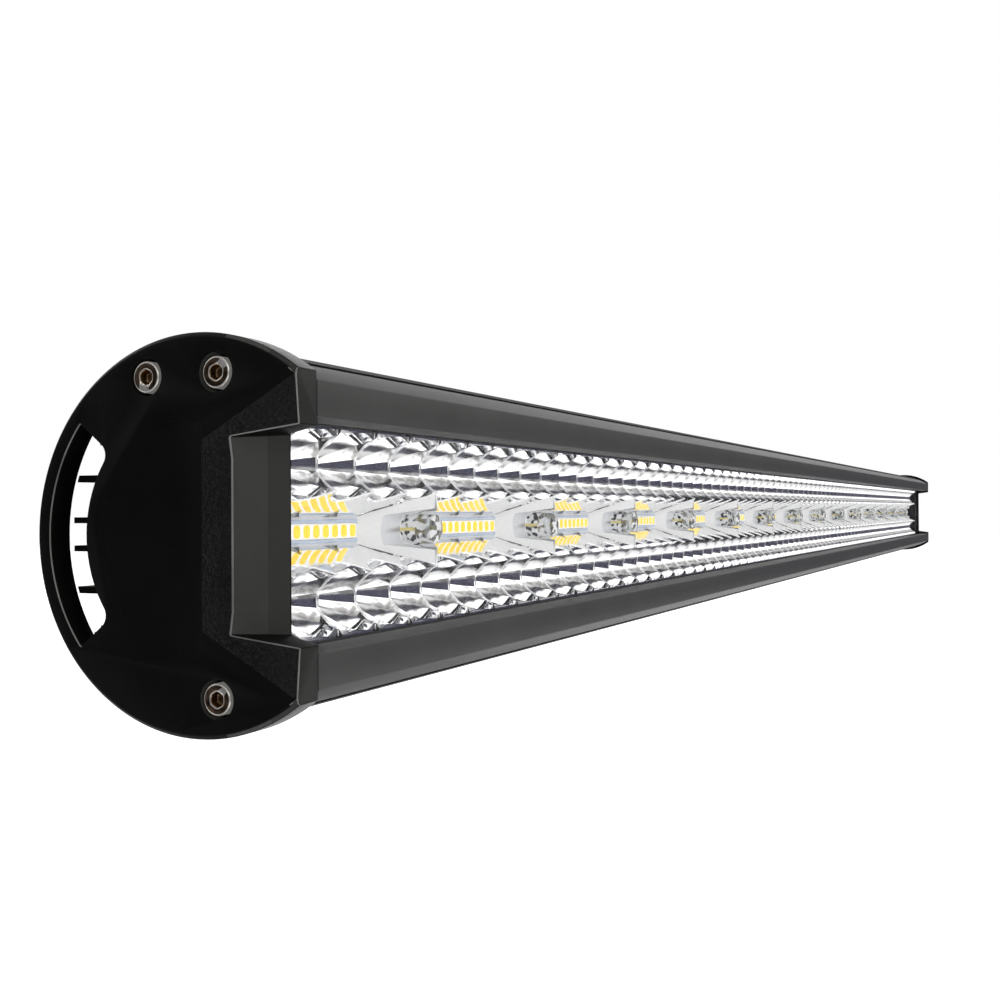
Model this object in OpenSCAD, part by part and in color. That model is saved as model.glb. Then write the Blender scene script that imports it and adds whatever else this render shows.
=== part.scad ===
// LED light bar with three rows of optics behind one clear cover.
// +X runs along the bar, the light faces -Y and +Z is up. The origin is at the mouth of the
// rear T-slot, at mid-length. Profile sizes are measured from the bar's centre line, which is
// the axis of its round back: y is depth, negative towards the light, and z is height.

/* [Bar] */
// Overall length over both end plates
bar_l = 1340; // [1340:1:1344]
// Radius of the round end plates
plate_r = 44; // [43.5:0.1:45]
// Radius of the round back of the housing
housing_r = 41.8; // [41.6:0.1:42]
// Depth from the centre line to the flat front of the rails
front_depth = 26.6; // [26:0.1:27.5]
// Depth from the centre line to the front face of the clear cover
cover_depth = 15.6; // [15.2:0.1:15.6]
// Half of the height of the window between the two front rails
window_half_h = 25.2; // [25.1:0.1:25.4]

/* [End plates] */
// Thickness of an end plate at its screws
plate_t = 8; // [7.5:0.1:8.4]
// Thickness of the end gasket
gasket_t = 1; // [0.8:0.1:1.2]
// Inner radius of the vent slot
vent_r1 = 29.3; // [28.5:0.1:30]
// Outer radius of the vent slot
vent_r2 = 39.8; // [39:0.1:40]
// Half of the angle that the vent slot spans
vent_half_angle = 39; // [36:1:42]
// Reach of the lip that holds down the end of the cover
lip_x = 12.5; // [12.3:0.1:13]

/* [Optics] */
// Distance from one reflector cup to the next
cup_pitch = 17.8; // [17.8:0.01:17.82]
// Radius of a cup at its chip
cup_floor_r = 3.2; // [3:0.1:3.4]
// Widening of a cup per millimetre of depth
cup_slope = 0.72; // [0.7:0.01:0.74]
// Radius of a projector lens
lens_r = 4.9; // [4.6:0.1:5]
// Distance between two chips of a strip
strip_chip_pitch = 4.42; // [4.4:0.01:4.44]
// Chips in each strip
strip_chips = 10; // [6:1:10]

/* [Rear slot] */
// Width of the T-slot's mouth, for an M5 bolt
slot_w = 5.2; // [5.1:0.1:5.6]
// Width of the T-slot's undercut, for the head of an M5 bolt
slot_head_w = 8.6; // [8.2:0.1:9]

/* [Cable gland] */
// Distance of the gland and of the breather valve from mid-length
port_x = 520; // [480:1:540]
// Radius of the cable bore in the gland's seal
cable_r = 3; // [2.5:0.1:3.2]

/* [Hidden] */
$fn = 96;
fit = 0.1;
MODULE_COLS = [11, 10, 10, 13, 10, 10, 11];
MODULES = len(MODULE_COLS);

axis_y = -41;
slot_mouth_y = -axis_y;
half_l = bar_l / 2;
housing_half_l = half_l - plate_t - gasket_t;
rail_half_l = half_l - plate_t - 0.3;

// Cover, seal and the shoulder under them
cover_t = 2;
cover_front_y = -cover_depth;
cover_back_y = cover_front_y + cover_t;
seal_t = 1.2;
shoulder_y = cover_back_y + seal_t;
cover_half_h = window_half_h + 3;
cover_half_l = half_l - lip_x + 1.3;
rail_seat_y = cover_front_y - 0.6;
rail_edge_h = 33.2;
rail_top = [-17.6, 37.8];
rail_foot_h = 36.6;
rail_wall_t = 2;
rail_bore_h = 35;
hook_z = 33;
hook_neck_half = 0.8;
hook_half = 2;
hook_y0 = -13.2;
hook_y1 = -11.6;

// Walls of the housing
shell_t = 2.4;
flange_y = -8;
inner_wall_t = 1.8;
board_front_y = 0.6;
board_t = 1.6;
mid_wall_y = board_front_y + board_t;
mid_wall_t = 3;
cavity_y = mid_wall_y + mid_wall_t;
back_wall_y = 21.5;
back_wall_t = 3;
fin_root_y = back_wall_y + back_wall_t;
fin_t = 1.6;
FIN_Z = [13, 23.5, 31];
slot_wall_t = 1.4;
slot_lip_y = 31;
slot_lip_t = 2;

// Screws: [depth, height] of each from the centre line
PLATE_SCREWS = [[12.5, 34.8], [-6.2, 35], [-6.2, -35]];
SCREW_CHANNELS = concat(PLATE_SCREWS, [[12.5, -34.8]]);
screw_r = 2;
screw_l = 16;
channel_wall_t = 2.2;
head_r = 3.5;
head_h = 4;
counterbore_r = 4.3;
counterbore_h = 4.2;
screw_fit = 0.2;
hex_r = 1.73;
hex_h = 2.4;

// Scoop in an end plate's front: [distance in from the outer face, depth]
SCOOP = [[0, -9.4], [8.2, -13.9], [lip_x, -17]];
// Half-height of the scoop: [depth, height]
SCOOP_SIDE = [[-9.4, 21.1], [-26.6, 23.3]];
facet_y = -2.4;
facet_half_h = 20.6;
facet_corner_h = 34;
facet_slope = 0.12;
recess_r = 25;
recess_d = 0.3;
plate_bevel = 1;
vent_plate_t = 5.3;
vent_relief = 1.5;
vent_corner_r = 3;
nose_lap = 1;
nose_clear = 0.4;
nose_back_y = shoulder_y + 4;

// Optics
cup_cols = 75;
cups_x0 = -cup_cols * cup_pitch / 2;
row_z = 16.4;
reflector_front_y = cover_back_y + 0.2;
reflector_back_y = board_front_y - 0.2;
reflector_half_l = half_l - lip_x - 0.5;
reflector_half_h = window_half_h - 0.2;
cup_wall_z = [7.6, 24.4];
trough_half_h = 6.9;
crest_half_t = 0.6;
crest_step = 5;
pocket_y = -3.8;
pocket_l = 16;
ramp_end = 22.25;
trough_y = -0.4;
strip_half_h = 2.5;
chip_h = 0.9;
strip_chip_w = 4.2;
strip_chip_edge = 2.3;
cup_chip_w = 3.5;
lens_tip_y = -13.2;
joint_gap = 0.2;
board_screw_r = 1.22;
board_screw_head_r = 2.6;
board_screw_head_h = 1.8;
board_screw_hex_r = 1.1;
board_screw_hex_h = 1.2;
board_screw_end_gap = 0.2;
board_hole_r = 1.6;
link_z = 7.25;
link_half_w = 0.6;
link_half_l = 3;
link_t = 0.15;
lens_body_r = 4.1;
lens_foot_h = 5.2;
lens_crown_r = 8.5;
lens_hollow_r = 2.6;
lens_hollow_h = 1.2;

// Gland and breather
port_fit = 0.05;
port_hex_r = 8.2;
gland_hex_h = 4;
gland_seat_h = 3;
gland_gap = 0.1;
gland_neck_r = 5.6;
gland_neck_h = 6;
gland_bore_r = 3.6;
gland_cup_r = 4.4;
gland_seal_h = 7;
gland_nut_r = 7.6;
gland_nut_h = 5;
gland_cone_r = [6.4, 5];
gland_cone_h = 3;
breather_tail = 2;
breather_hex_h = 3.5;
breather_cap_r = 6.5;
breather_cap_h = 3.5;
breather_bore_r = 3;
breather_bore_h = 7;
breather_slit_x = 5;
breather_slit_w = 1.5;
breather_slit_l = 3;
breather_slit_z = 5;

// Driver
driver_l = 420;
driver_y = 13;
driver_t = 1.6;
driver_half_h = 26;
guide_l = 6;
lead_r = 1.1;
lead_half_gap = 1.5;
CONVERTER_X = [-150, -50, 50, 150];
part_gap = 0.5;
coil_r = 8;
coil_hole_r = 3;
coil_z = 10;
capacitor_r = 4;
capacitor_dx = 24;
capacitor_z = 12;
switch_half_l = 5;
switch_t = 4.5;
SWITCH_Z = [-18, -8];
controller_t = 1.8;
CHIP_DX = [18, 30];
CHIP_Z = [-14, -6];
terminal_inset = 4;
terminal_l = 12;
terminal_t = 6;
TERMINAL_Z = [-22, -12];
riser_x = 0;
riser_z = 21;
riser_r = 1.2;
riser_hole_r = 2.6;
riser_board_r = 1.6;
port_z = -17;
port_r = 6;
pocket_half_l = 15;
pocket_half_h = 9.4;

// The height of the line through p and q at a given first coordinate
function line_at(p, q, x) = p[1] + (q[1] - p[1]) * (x - p[0]) / (q[0] - p[0]);
function sum_to(list, n) = n == 0 ? 0 : list[n - 1] + sum_to(list, n - 1);
function first_col(i) = sum_to(MODULE_COLS, i - 1);
function ridge_x(k) = cups_x0 + k * cup_pitch;
function clip(x, limit) = max(-limit, min(limit, x));
function module_x0(i) = clip(ridge_x(first_col(i)), reflector_half_l);
function module_x1(i) = clip(ridge_x(first_col(i) + MODULE_COLS[i - 1]), reflector_half_l);
function module_crests(i) =
    [for (k = [crest_step:crest_step:cup_cols - crest_step])
        if (k > first_col(i) && k < first_col(i) + MODULE_COLS[i - 1]) k];
// A cup has a chip unless the end plate's lip covers it
function lit_cols(i) =
    [for (c = [first_col(i):first_col(i) + MODULE_COLS[i - 1] - 1])
        if (c > 0 && c < cup_cols - 1) c];
function board_screw_ridges(i) = [first_col(i) + 3, first_col(i) + MODULE_COLS[i - 1] - 3];

// Extrudes a profile drawn as [depth, height] along the bar
module along_x(x0, x1) {
    translate([x0, axis_y, 0]) rotate([90, 0, 90]) linear_extrude(x1 - x0) children();
}

// Puts children drawn along +Z at a place, pointing to the back
module to_back(x, y, z) {
    translate([x, axis_y + y, z]) rotate([-90, 0, 0]) children();
}

module both_heights() {
    children();
    mirror([0, 1]) children();
}

module block(x0, x1, y0, y1, z0, z1) {
    translate([x0, axis_y + y0, z0]) cube([x1 - x0, y1 - y0, z1 - z0]);
}

module rect_yz(y0, y1, z0, z1) {
    translate([y0, z0]) square([y1 - y0, z1 - z0]);
}

// Right end copies of pieces drawn at the left end
module at_right() {
    mirror([1, 0, 0]) children();
}

/* ---- housing ---- */

module shell_profile() {
    intersection() {
        difference() {
            circle(housing_r);
            circle(housing_r - shell_t);
        }
        rect_yz(rail_seat_y, fin_root_y, -plate_r, plate_r);
    }
}

module hook_groove_profile(gap) {
    rect_yz(rail_seat_y - 1, (hook_y0 + hook_y1) / 2,
            hook_z - hook_neck_half - gap, hook_z + hook_neck_half + gap);
    rect_yz(hook_y0 - gap, hook_y1 + gap, hook_z - hook_half - gap, hook_z + hook_half + gap);
}

module upper_walls_profile() {
    intersection() {
        circle(housing_r - 0.5);
        union() {
            rect_yz(rail_seat_y, shoulder_y, cover_half_h + 0.4, plate_r);
            rect_yz(shoulder_y, flange_y, window_half_h, plate_r);
            rect_yz(flange_y, back_wall_y, window_half_h, window_half_h + inner_wall_t);
        }
    }
    for (z = FIN_Z)
        intersection() {
            circle(housing_r);
            rect_yz(back_wall_y, housing_r, z - fin_t / 2, z + fin_t / 2);
        }
    rect_yz(back_wall_y, slot_lip_y, slot_head_w / 2, slot_head_w / 2 + slot_wall_t);
    rect_yz(slot_lip_y, slot_lip_y + slot_lip_t, slot_w / 2, slot_head_w / 2 + slot_wall_t);
    rect_yz(slot_lip_y, slot_mouth_y, slot_w / 2, slot_w / 2 + slot_wall_t);
}

module housing_profile() {
    difference() {
        union() {
            shell_profile();
            both_heights() upper_walls_profile();
            intersection() {
                circle(housing_r - 0.5);
                union() {
                    rect_yz(mid_wall_y, cavity_y, -plate_r, plate_r);
                    rect_yz(back_wall_y, fin_root_y, -plate_r, plate_r);
                }
            }
            for (s = SCREW_CHANNELS) translate(s) circle(screw_r + channel_wall_t);
        }
        for (s = SCREW_CHANNELS) translate(s) circle(screw_r);
        both_heights() {
            hook_groove_profile(fit);
            rect_yz(driver_y - fit, driver_y + driver_t + fit,
                    driver_half_h - guide_l, driver_half_h + fit);
        }
    }
}

module port_pocket(x) {
    block(x - pocket_half_l, x + pocket_half_l, fin_root_y, plate_r, port_z - pocket_half_h,
          port_z + pocket_half_h);
    to_back(x, back_wall_y - 1, port_z) cylinder(r = port_r, h = back_wall_t + 2);
}

module housing() color("#26261f") difference() {
    along_x(-housing_half_l, housing_half_l) housing_profile();
    port_pocket(-port_x);
    port_pocket(port_x);
    for (i = [1:MODULES], k = board_screw_ridges(i), s = [-1, 1])
        to_back(ridge_x(k), mid_wall_y - 1, s * row_z) cylinder(r = board_screw_r + 0.03, h = mid_wall_t + 2);
    to_back(riser_x, mid_wall_y - 1, riser_z) cylinder(r = riser_hole_r, h = mid_wall_t + 2);
}

/* ---- front rails ---- */

module rail_profile() {
    seat_h = cover_half_h + 0.4;
    back_y = cover_front_y - 0.05;
    bore_y = -front_depth + rail_wall_t;
    difference() {
        polygon([[-front_depth, window_half_h], [-front_depth, rail_edge_h], rail_top,
                 [rail_top[0], rail_foot_h], [rail_seat_y, rail_foot_h], [rail_seat_y, seat_h],
                 [back_y, seat_h], [back_y, window_half_h]]);
        polygon([[bore_y, window_half_h + rail_wall_t], [bore_y, rail_edge_h - rail_wall_t / 2],
                 [rail_top[0] - rail_wall_t, rail_bore_h],
                 [rail_top[0] - rail_wall_t, window_half_h + rail_wall_t]]);
    }
}

// The hook stops short of the end gaskets
module front_rail() {
    along_x(-rail_half_l, rail_half_l) rail_profile();
    along_x(-housing_half_l, housing_half_l) hook_groove_profile(0);
}

module upper_front_rail() color("#474745") front_rail();

module lower_front_rail() color("#474745") mirror([0, 0, 1]) front_rail();

/* ---- end plates, drawn at the left end ---- */

// Extrudes an outline drawn as [distance in from the outer face, depth] across the height
module across_z(z0, z1) {
    translate([-half_l, axis_y, z0]) linear_extrude(z1 - z0) children();
}

module plate_disc() {
    translate([-half_l, axis_y, 0]) rotate([0, 90, 0]) {
        cylinder(r1 = plate_r - plate_bevel, r2 = plate_r, h = plate_bevel);
        translate([0, 0, plate_bevel]) cylinder(r = plate_r, h = plate_t - plate_bevel);
    }
}

// The part of the plate that reaches in between the rails
module plate_nose() {
    across_z(-window_half_h + fit, window_half_h - fit)
        polygon([[plate_t - nose_lap, -front_depth], [plate_t + nose_clear, -front_depth], SCOOP[2],
                 [lip_x, nose_back_y], [plate_t - nose_lap, nose_back_y]]);
}

module scoop_cut() {
    intersection() {
        across_z(-plate_r, plate_r)
            polygon([[-1, line_at(SCOOP[0], SCOOP[1], -1)], SCOOP[1], SCOOP[2],
                     [lip_x + 1, line_at(SCOOP[1], SCOOP[2], lip_x + 1)],
                     [lip_x + 1, -plate_r], [-1, -plate_r]]);
        along_x(-half_l - 1, -half_l + lip_x + 1)
            polygon([for (p = [[1, 1], [-1, 1], [-1, -1], [1, -1]])
                let (y = p[0] > 0 ? 0 : -front_depth - 1)
                    [y, p[1] * line_at(SCOOP_SIDE[0], SCOOP_SIDE[1], y)]]);
    }
}

// A wide slab whose lower face slopes down from the edge line, cutting in towards -y
module sloped_slab(slope) {
    rotate([0, 0, atan(slope)]) translate([-30, -120, -90]) cube([30, 240, 180]);
}

module facet_cut() {
    intersection() {
        translate([-half_l, axis_y + facet_y, 0]) sloped_slab(facet_slope);
        corner_slab(1);
        corner_slab(-1);
    }
}

module corner_slab(s) {
    corner = atan2(facet_corner_h - facet_half_h, front_depth + facet_y);
    translate([-half_l, axis_y + facet_y, s * facet_half_h])
        rotate([s * (90 - corner), 0, 0]) sloped_slab(facet_slope);
}

module vent_outline(r1, r2, corner_r) {
    half = vent_half_angle;
    inner = r1 + corner_r;
    turn = half - asin(corner_r / inner);
    far = 3 * plate_r;
    intersection() {
        difference() {
            circle(r2);
            circle(inner);
        }
        polygon([[0, 0], [far * cos(half), far * sin(half)], [far * cos(half), -far * sin(half)]]);
    }
    intersection() {
        difference() {
            circle(inner + 0.01);
            circle(r1);
        }
        polygon([[0, 0], [far * cos(turn), far * sin(turn)], [far * cos(turn), -far * sin(turn)]]);
    }
    for (s = [-1, 1]) rotate(s * turn) translate([inner, 0]) circle(corner_r);
}

module end_plate_at_left() difference() {
    union() {
        plate_disc();
        plate_nose();
    }
    block(-half_l - 1, -half_l + 20, -plate_r - 1, -front_depth, -plate_r, plate_r);
    scoop_cut();
    facet_cut();
    // Pocket for the end of the cover and its seal
    block(-cover_half_l - fit, -half_l + 20, cover_front_y - fit, shoulder_y, -plate_r, plate_r);
    along_x(-half_l - 1, -half_l + plate_t + 1) vent_outline(vent_r1, vent_r2, vent_corner_r);
    along_x(-half_l + vent_plate_t, -half_l + plate_t + 1)
        vent_outline(vent_r1 - vent_relief, vent_r2 + vent_relief, vent_corner_r);
    intersection() {
        translate([-half_l - 1, axis_y, 0]) rotate([0, 90, 0]) cylinder(r = recess_r, h = 1 + recess_d);
        block(-half_l - 1, -half_l + 1, facet_y, plate_r, -plate_r, plate_r);
    }
    for (s = PLATE_SCREWS) along_x(-half_l - 1, -half_l + counterbore_h)
        translate(s) circle(counterbore_r);
    for (s = PLATE_SCREWS) along_x(-half_l, -half_l + plate_t + 1)
        translate(s) circle(screw_r + screw_fit);
}

module end_plate_left() color("#0d0d0b") end_plate_at_left();

module end_plate_right() color("#0d0d0b") at_right() end_plate_at_left();

module end_gasket_at_left() {
    along_x(-half_l + plate_t, -housing_half_l) difference() {
        intersection() {
            circle(housing_r - 0.3);
            rect_yz(rail_seat_y, fin_root_y, -plate_r, plate_r);
        }
        rect_yz(rail_seat_y - 1, back_wall_y, -window_half_h, window_half_h);
        for (s = SCREW_CHANNELS) translate(s) circle(screw_r + screw_fit);
    }
}

module end_gasket_left() color("#111111") end_gasket_at_left();

module end_gasket_right() color("#111111") at_right() end_gasket_at_left();

module plate_screw() {
    difference() {
        union() {
            translate([0, 0, counterbore_h - head_h]) cylinder(r = head_r, h = head_h);
            translate([0, 0, head_h]) cylinder(r = screw_r - 0.02, h = screw_l);
        }
        cylinder(r = hex_r, h = hex_h, $fn = 6);
    }
}

module end_screws_at_left() {
    for (s = PLATE_SCREWS)
        translate([-half_l, axis_y + s[0], s[1]]) rotate([0, 90, 0]) plate_screw();
}

module end_screws_left() color("#b8b4ac") end_screws_at_left();

module end_screws_right() color("#b8b4ac") at_right() end_screws_at_left();

/* ---- cover ---- */

module front_cover() color("#e8f0f4", 0.25)
    block(-cover_half_l, cover_half_l, cover_front_y, cover_back_y, -cover_half_h, cover_half_h);

module cover_gasket() color("#1a1a1a") difference() {
    block(-cover_half_l, cover_half_l, cover_back_y, shoulder_y, -cover_half_h, cover_half_h);
    block(-reflector_half_l - 0.1, reflector_half_l + 0.1, cover_back_y - 1, shoulder_y + 1,
          -window_half_h + 0.1, window_half_h - 0.1);
}

/* ---- reflectors ---- */

module cup_cut(col) {
    depth = reflector_back_y - reflector_front_y + 2;
    for (s = [-1, 1])
        intersection() {
            to_back(ridge_x(col + 0.5), reflector_front_y - 1, s * row_z)
                cylinder(r1 = cup_floor_r + cup_slope * (depth - 1), r2 = cup_floor_r - cup_slope,
                         h = depth);
            block(-half_l, half_l, -plate_r, plate_r,
                  s > 0 ? cup_wall_z[0] : -cup_wall_z[1], s > 0 ? cup_wall_z[1] : -cup_wall_z[0]);
        }
}

// The centre row between two crests, seen from above
module trough_outline(x0, x1) {
    top = reflector_front_y - 1;
    polygon([[x0, top], [x0, pocket_y], [x0 + pocket_l - crest_half_t, pocket_y],
             [x0 + ramp_end - crest_half_t, trough_y], [x1 - ramp_end + crest_half_t, trough_y],
             [x1 - pocket_l + crest_half_t, pocket_y], [x1, pocket_y], [x1, top]]);
}

module trough_cut(k) {
    translate([0, axis_y, -trough_half_h]) linear_extrude(2 * trough_half_h)
        trough_outline(ridge_x(k) + crest_half_t, ridge_x(k + crest_step) - crest_half_t);
    x0 = ridge_x(k) + ramp_end + strip_half_h;
    x1 = ridge_x(k + crest_step) - ramp_end - strip_half_h;
    block(x0, x1, trough_y - 1, reflector_back_y + 1, -strip_half_h, strip_half_h);
    for (x = [x0, x1])
        to_back(x, trough_y - 1, 0) cylinder(r = strip_half_h, h = 3);
}

module reflector_body(i) {
    depth = reflector_back_y - reflector_front_y;
    difference() {
        block(module_x0(i) + joint_gap / 2, module_x1(i) - joint_gap / 2, reflector_front_y,
              reflector_back_y, -reflector_half_h, reflector_half_h);
        for (c = [first_col(i):first_col(i) + MODULE_COLS[i - 1] - 1]) cup_cut(c);
        for (k = [0:crest_step:cup_cols - 1])
            if (ridge_x(k) < module_x1(i) && ridge_x(k + crest_step) > module_x0(i)) trough_cut(k);
        for (k = module_crests(i))
            to_back(ridge_x(k), reflector_front_y - 1, 0) cylinder(r = lens_r + fit, h = depth + 2);
        for (k = board_screw_ridges(i), s = [-1, 1])
            to_back(ridge_x(k), board_front_y - board_screw_head_h - 0.4, s * row_z)
                cylinder(r = board_screw_head_r + 0.4, h = board_screw_head_h + 1);
    }
}

// A rod on a wide foot with a rounded shoulder and a low domed end, hollow underneath
module lens() {
    tip_h = board_front_y - lens_tip_y;
    rotate_extrude() difference() {
        union() {
            square([lens_r, lens_foot_h]);
            intersection() {
                translate([0, lens_foot_h]) circle(lens_r);
                square([lens_r, tip_h]);
            }
            intersection() {
                translate([0, tip_h - lens_crown_r]) circle(lens_crown_r);
                square([lens_body_r, tip_h]);
            }
        }
        square([lens_hollow_r, lens_hollow_h]);
    }
}

module lenses_of(i) {
    for (k = module_crests(i))
        translate([ridge_x(k), axis_y + board_front_y, 0]) rotate([90, 0, 0]) lens();
}

module reflector(i) color("#dcdcdc") reflector_body(i);

module projector_lenses(i) color("#e6eef2", 0.4) lenses_of(i);

/* ---- LED boards ---- */

module led_board(i) color("#e9e9e4") difference() {
    block(module_x0(i) + joint_gap / 2, module_x1(i) - joint_gap / 2, board_front_y, mid_wall_y,
          -reflector_half_h, reflector_half_h);
    for (k = board_screw_ridges(i), s = [-1, 1])
        to_back(ridge_x(k), board_front_y - 1, s * row_z) cylinder(r = board_hole_r, h = board_t + 2);
    if (module_x0(i) < riser_x && riser_x < module_x1(i))
        to_back(riser_x, board_front_y - 1, riser_z) cylinder(r = riser_board_r, h = board_t + 2);
}

module chip(x, z, w) {
    block(x - w / 2, x + w / 2, board_front_y - chip_h, board_front_y, z - w / 2, z + w / 2);
}

module cup_leds(i) color("#f3dc50") {
    for (c = lit_cols(i), s = [-1, 1]) chip(ridge_x(c + 0.5), s * row_z, cup_chip_w);
    for (k = module_crests(i)) chip(ridge_x(k), 0, cup_chip_w);
}

// A strip belongs to the board that its middle lies on, and each chip to the board under it
module strip_leds(i) color("#f3dc50") {
    for (k = [0:crest_step:cup_cols - 1], n = [0:strip_chips - 1]) {
        x = ridge_x(k + crest_step / 2) + (n - (strip_chips - 1) / 2) * strip_chip_pitch;
        if (x > module_x0(i) + strip_chip_edge && x < module_x1(i) - strip_chip_edge)
            chip(x, 0, strip_chip_w);
    }
}

module board_links() color("#f2f2ea") {
    for (i = [2:MODULES], z = [-link_z, link_z])
        block(module_x0(i) - link_half_l, module_x0(i) + link_half_l, board_front_y - link_t,
              board_front_y, z - link_half_w, z + link_half_w);
}

module board_screw() {
    difference() {
        cylinder(r = board_screw_head_r, h = board_screw_head_h);
        translate([0, 0, -0.1]) cylinder(r = board_screw_hex_r, h = board_screw_hex_h, $fn = 6);
    }
    translate([0, 0, board_screw_head_h])
        cylinder(r = board_screw_r, h = board_t + mid_wall_t - board_screw_end_gap);
}

module board_screws() color("#9a9a96") {
    for (i = [1:MODULES], k = board_screw_ridges(i), s = [-1, 1])
        to_back(ridge_x(k), board_front_y - board_screw_head_h, s * row_z) board_screw();
}

/* ---- driver ---- */

module driver_board() color("#1d5a33")
    block(-driver_l / 2, driver_l / 2, driver_y, driver_y + driver_t, -driver_half_h, driver_half_h);

module driver_parts() {
    front = driver_y + driver_t;
    room = back_wall_y - front;
    for (x = CONVERTER_X) {
        color("#3a3a3a") to_back(x, front, coil_z) difference() {
            cylinder(r = coil_r, h = room - part_gap);
            translate([0, 0, -0.1]) cylinder(r = coil_hole_r, h = room);
        }
        color("#6b4a2a") to_back(x + capacitor_dx, front, capacitor_z)
            cylinder(r = capacitor_r, h = room - part_gap);
        color("#222222")
            block(x - switch_half_l, x + switch_half_l, front, front + switch_t, SWITCH_Z[0], SWITCH_Z[1]);
        color("#222222")
            block(x + CHIP_DX[0], x + CHIP_DX[1], front, front + controller_t, CHIP_Z[0], CHIP_Z[1]);
    }
    color("#2f7d3a") block(-driver_l / 2 + terminal_inset, -driver_l / 2 + terminal_inset + terminal_l,
                           front, front + terminal_t, TERMINAL_Z[0], TERMINAL_Z[1]);
}

// Two wires from the gland's inner end to the driver's terminal, and two up to the LED boards
module supply_leads() {
    start_x = -port_x;
    end_x = -driver_l / 2 + terminal_inset;
    wire_y = driver_y + driver_t + terminal_t / 2;
    for (s = [-1, 1]) {
        z = port_z + s * lead_half_gap;
        color(s > 0 ? "#a51c1c" : "#151515") {
            translate([start_x, axis_y + wire_y, z]) rotate([0, 90, 0])
                cylinder(r = lead_r, h = end_x - start_x);
            to_back(start_x, wire_y, z) cylinder(r = lead_r, h = back_wall_y - wire_y);
            translate([start_x, axis_y + wire_y, z]) sphere(lead_r);
        }
    }
    color("#a51c1c") to_back(riser_x, board_front_y, riser_z)
        cylinder(r = riser_r, h = driver_y - board_front_y);
}

/* ---- gland and breather ---- */

module gland_body() color("#151515") to_back(-port_x, fin_root_y, port_z) difference() {
    union() {
        translate([0, 0, -back_wall_t]) cylinder(r = port_r - port_fit, h = back_wall_t + 1);
        cylinder(r = port_hex_r, h = gland_hex_h, $fn = 6);
        translate([0, 0, gland_seat_h]) cylinder(r = gland_neck_r, h = gland_neck_h);
    }
    translate([0, 0, -back_wall_t - 1]) cylinder(r = gland_bore_r, h = back_wall_t + gland_hex_h + 1);
    translate([0, 0, gland_seat_h]) cylinder(r = gland_cup_r, h = gland_neck_h + 1);
}

module gland_seal() color("#2b2b2b")
to_back(-port_x, fin_root_y + gland_seat_h + gland_gap, port_z) difference() {
    cylinder(r = gland_cup_r - port_fit, h = gland_seal_h);
    translate([0, 0, -1]) cylinder(r = cable_r, h = gland_seal_h + 2);
}

module gland_nut() color("#151515")
to_back(-port_x, fin_root_y + gland_hex_h + gland_gap, port_z) difference() {
    union() {
        cylinder(r = gland_nut_r, h = gland_nut_h, $fn = 6);
        translate([0, 0, gland_nut_h])
            cylinder(r1 = gland_cone_r[0], r2 = gland_cone_r[1], h = gland_cone_h);
    }
    translate([0, 0, -1]) cylinder(r = gland_neck_r + port_fit, h = gland_neck_h + 0.2);
    translate([0, 0, -1]) cylinder(r = gland_cup_r, h = gland_nut_h + gland_cone_h + 2);
}

module breather_valve() color("#151515") to_back(port_x, fin_root_y, port_z) difference() {
    union() {
        translate([0, 0, -back_wall_t - breather_tail])
            cylinder(r = port_r - port_fit, h = back_wall_t + breather_tail + 1);
        cylinder(r = port_hex_r, h = breather_hex_h, $fn = 6);
        translate([0, 0, breather_hex_h - 0.5]) cylinder(r = breather_cap_r, h = breather_cap_h);
    }
    translate([0, 0, -back_wall_t - breather_tail - 1])
        cylinder(r = breather_bore_r, h = back_wall_t + breather_bore_h);
    for (a = [0:60:300]) rotate(a)
        translate([breather_slit_x, -breather_slit_w / 2, breather_slit_z])
            cube([breather_slit_l, breather_slit_w, 2]);
}

housing();
upper_front_rail();
lower_front_rail();
end_plate_left();
end_plate_right();
end_gasket_left();
end_gasket_right();
end_screws_left();
end_screws_right();
front_cover();
cover_gasket();
for (i = [1:MODULES]) {
    reflector(i);
    projector_lenses(i);
    led_board(i);
    cup_leds(i);
    strip_leds(i);
}
board_links();
board_screws();
driver_board();
driver_parts();
supply_leads();
gland_body();
gland_seal();
gland_nut();
breather_valve();
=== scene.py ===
import math

import bmesh
import bpy
from mathutils import Matrix, Vector


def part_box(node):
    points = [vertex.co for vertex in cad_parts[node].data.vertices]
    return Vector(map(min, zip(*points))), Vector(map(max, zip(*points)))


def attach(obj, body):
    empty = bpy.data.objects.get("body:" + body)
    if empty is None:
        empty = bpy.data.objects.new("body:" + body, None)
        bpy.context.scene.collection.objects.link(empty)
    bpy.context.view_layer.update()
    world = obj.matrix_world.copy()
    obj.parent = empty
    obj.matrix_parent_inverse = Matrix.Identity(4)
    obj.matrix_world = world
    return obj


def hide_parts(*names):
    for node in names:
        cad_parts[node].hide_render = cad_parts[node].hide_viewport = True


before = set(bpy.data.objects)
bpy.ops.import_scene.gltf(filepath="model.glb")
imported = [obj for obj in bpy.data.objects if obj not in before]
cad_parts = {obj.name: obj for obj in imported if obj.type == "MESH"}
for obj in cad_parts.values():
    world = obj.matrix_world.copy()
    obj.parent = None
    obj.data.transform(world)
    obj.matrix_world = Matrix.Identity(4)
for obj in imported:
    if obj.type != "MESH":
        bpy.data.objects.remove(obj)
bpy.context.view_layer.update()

MM = 0.001
ROOT = "root"
FINE = 1e-6  # lengths and areas below this are nothing

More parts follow.
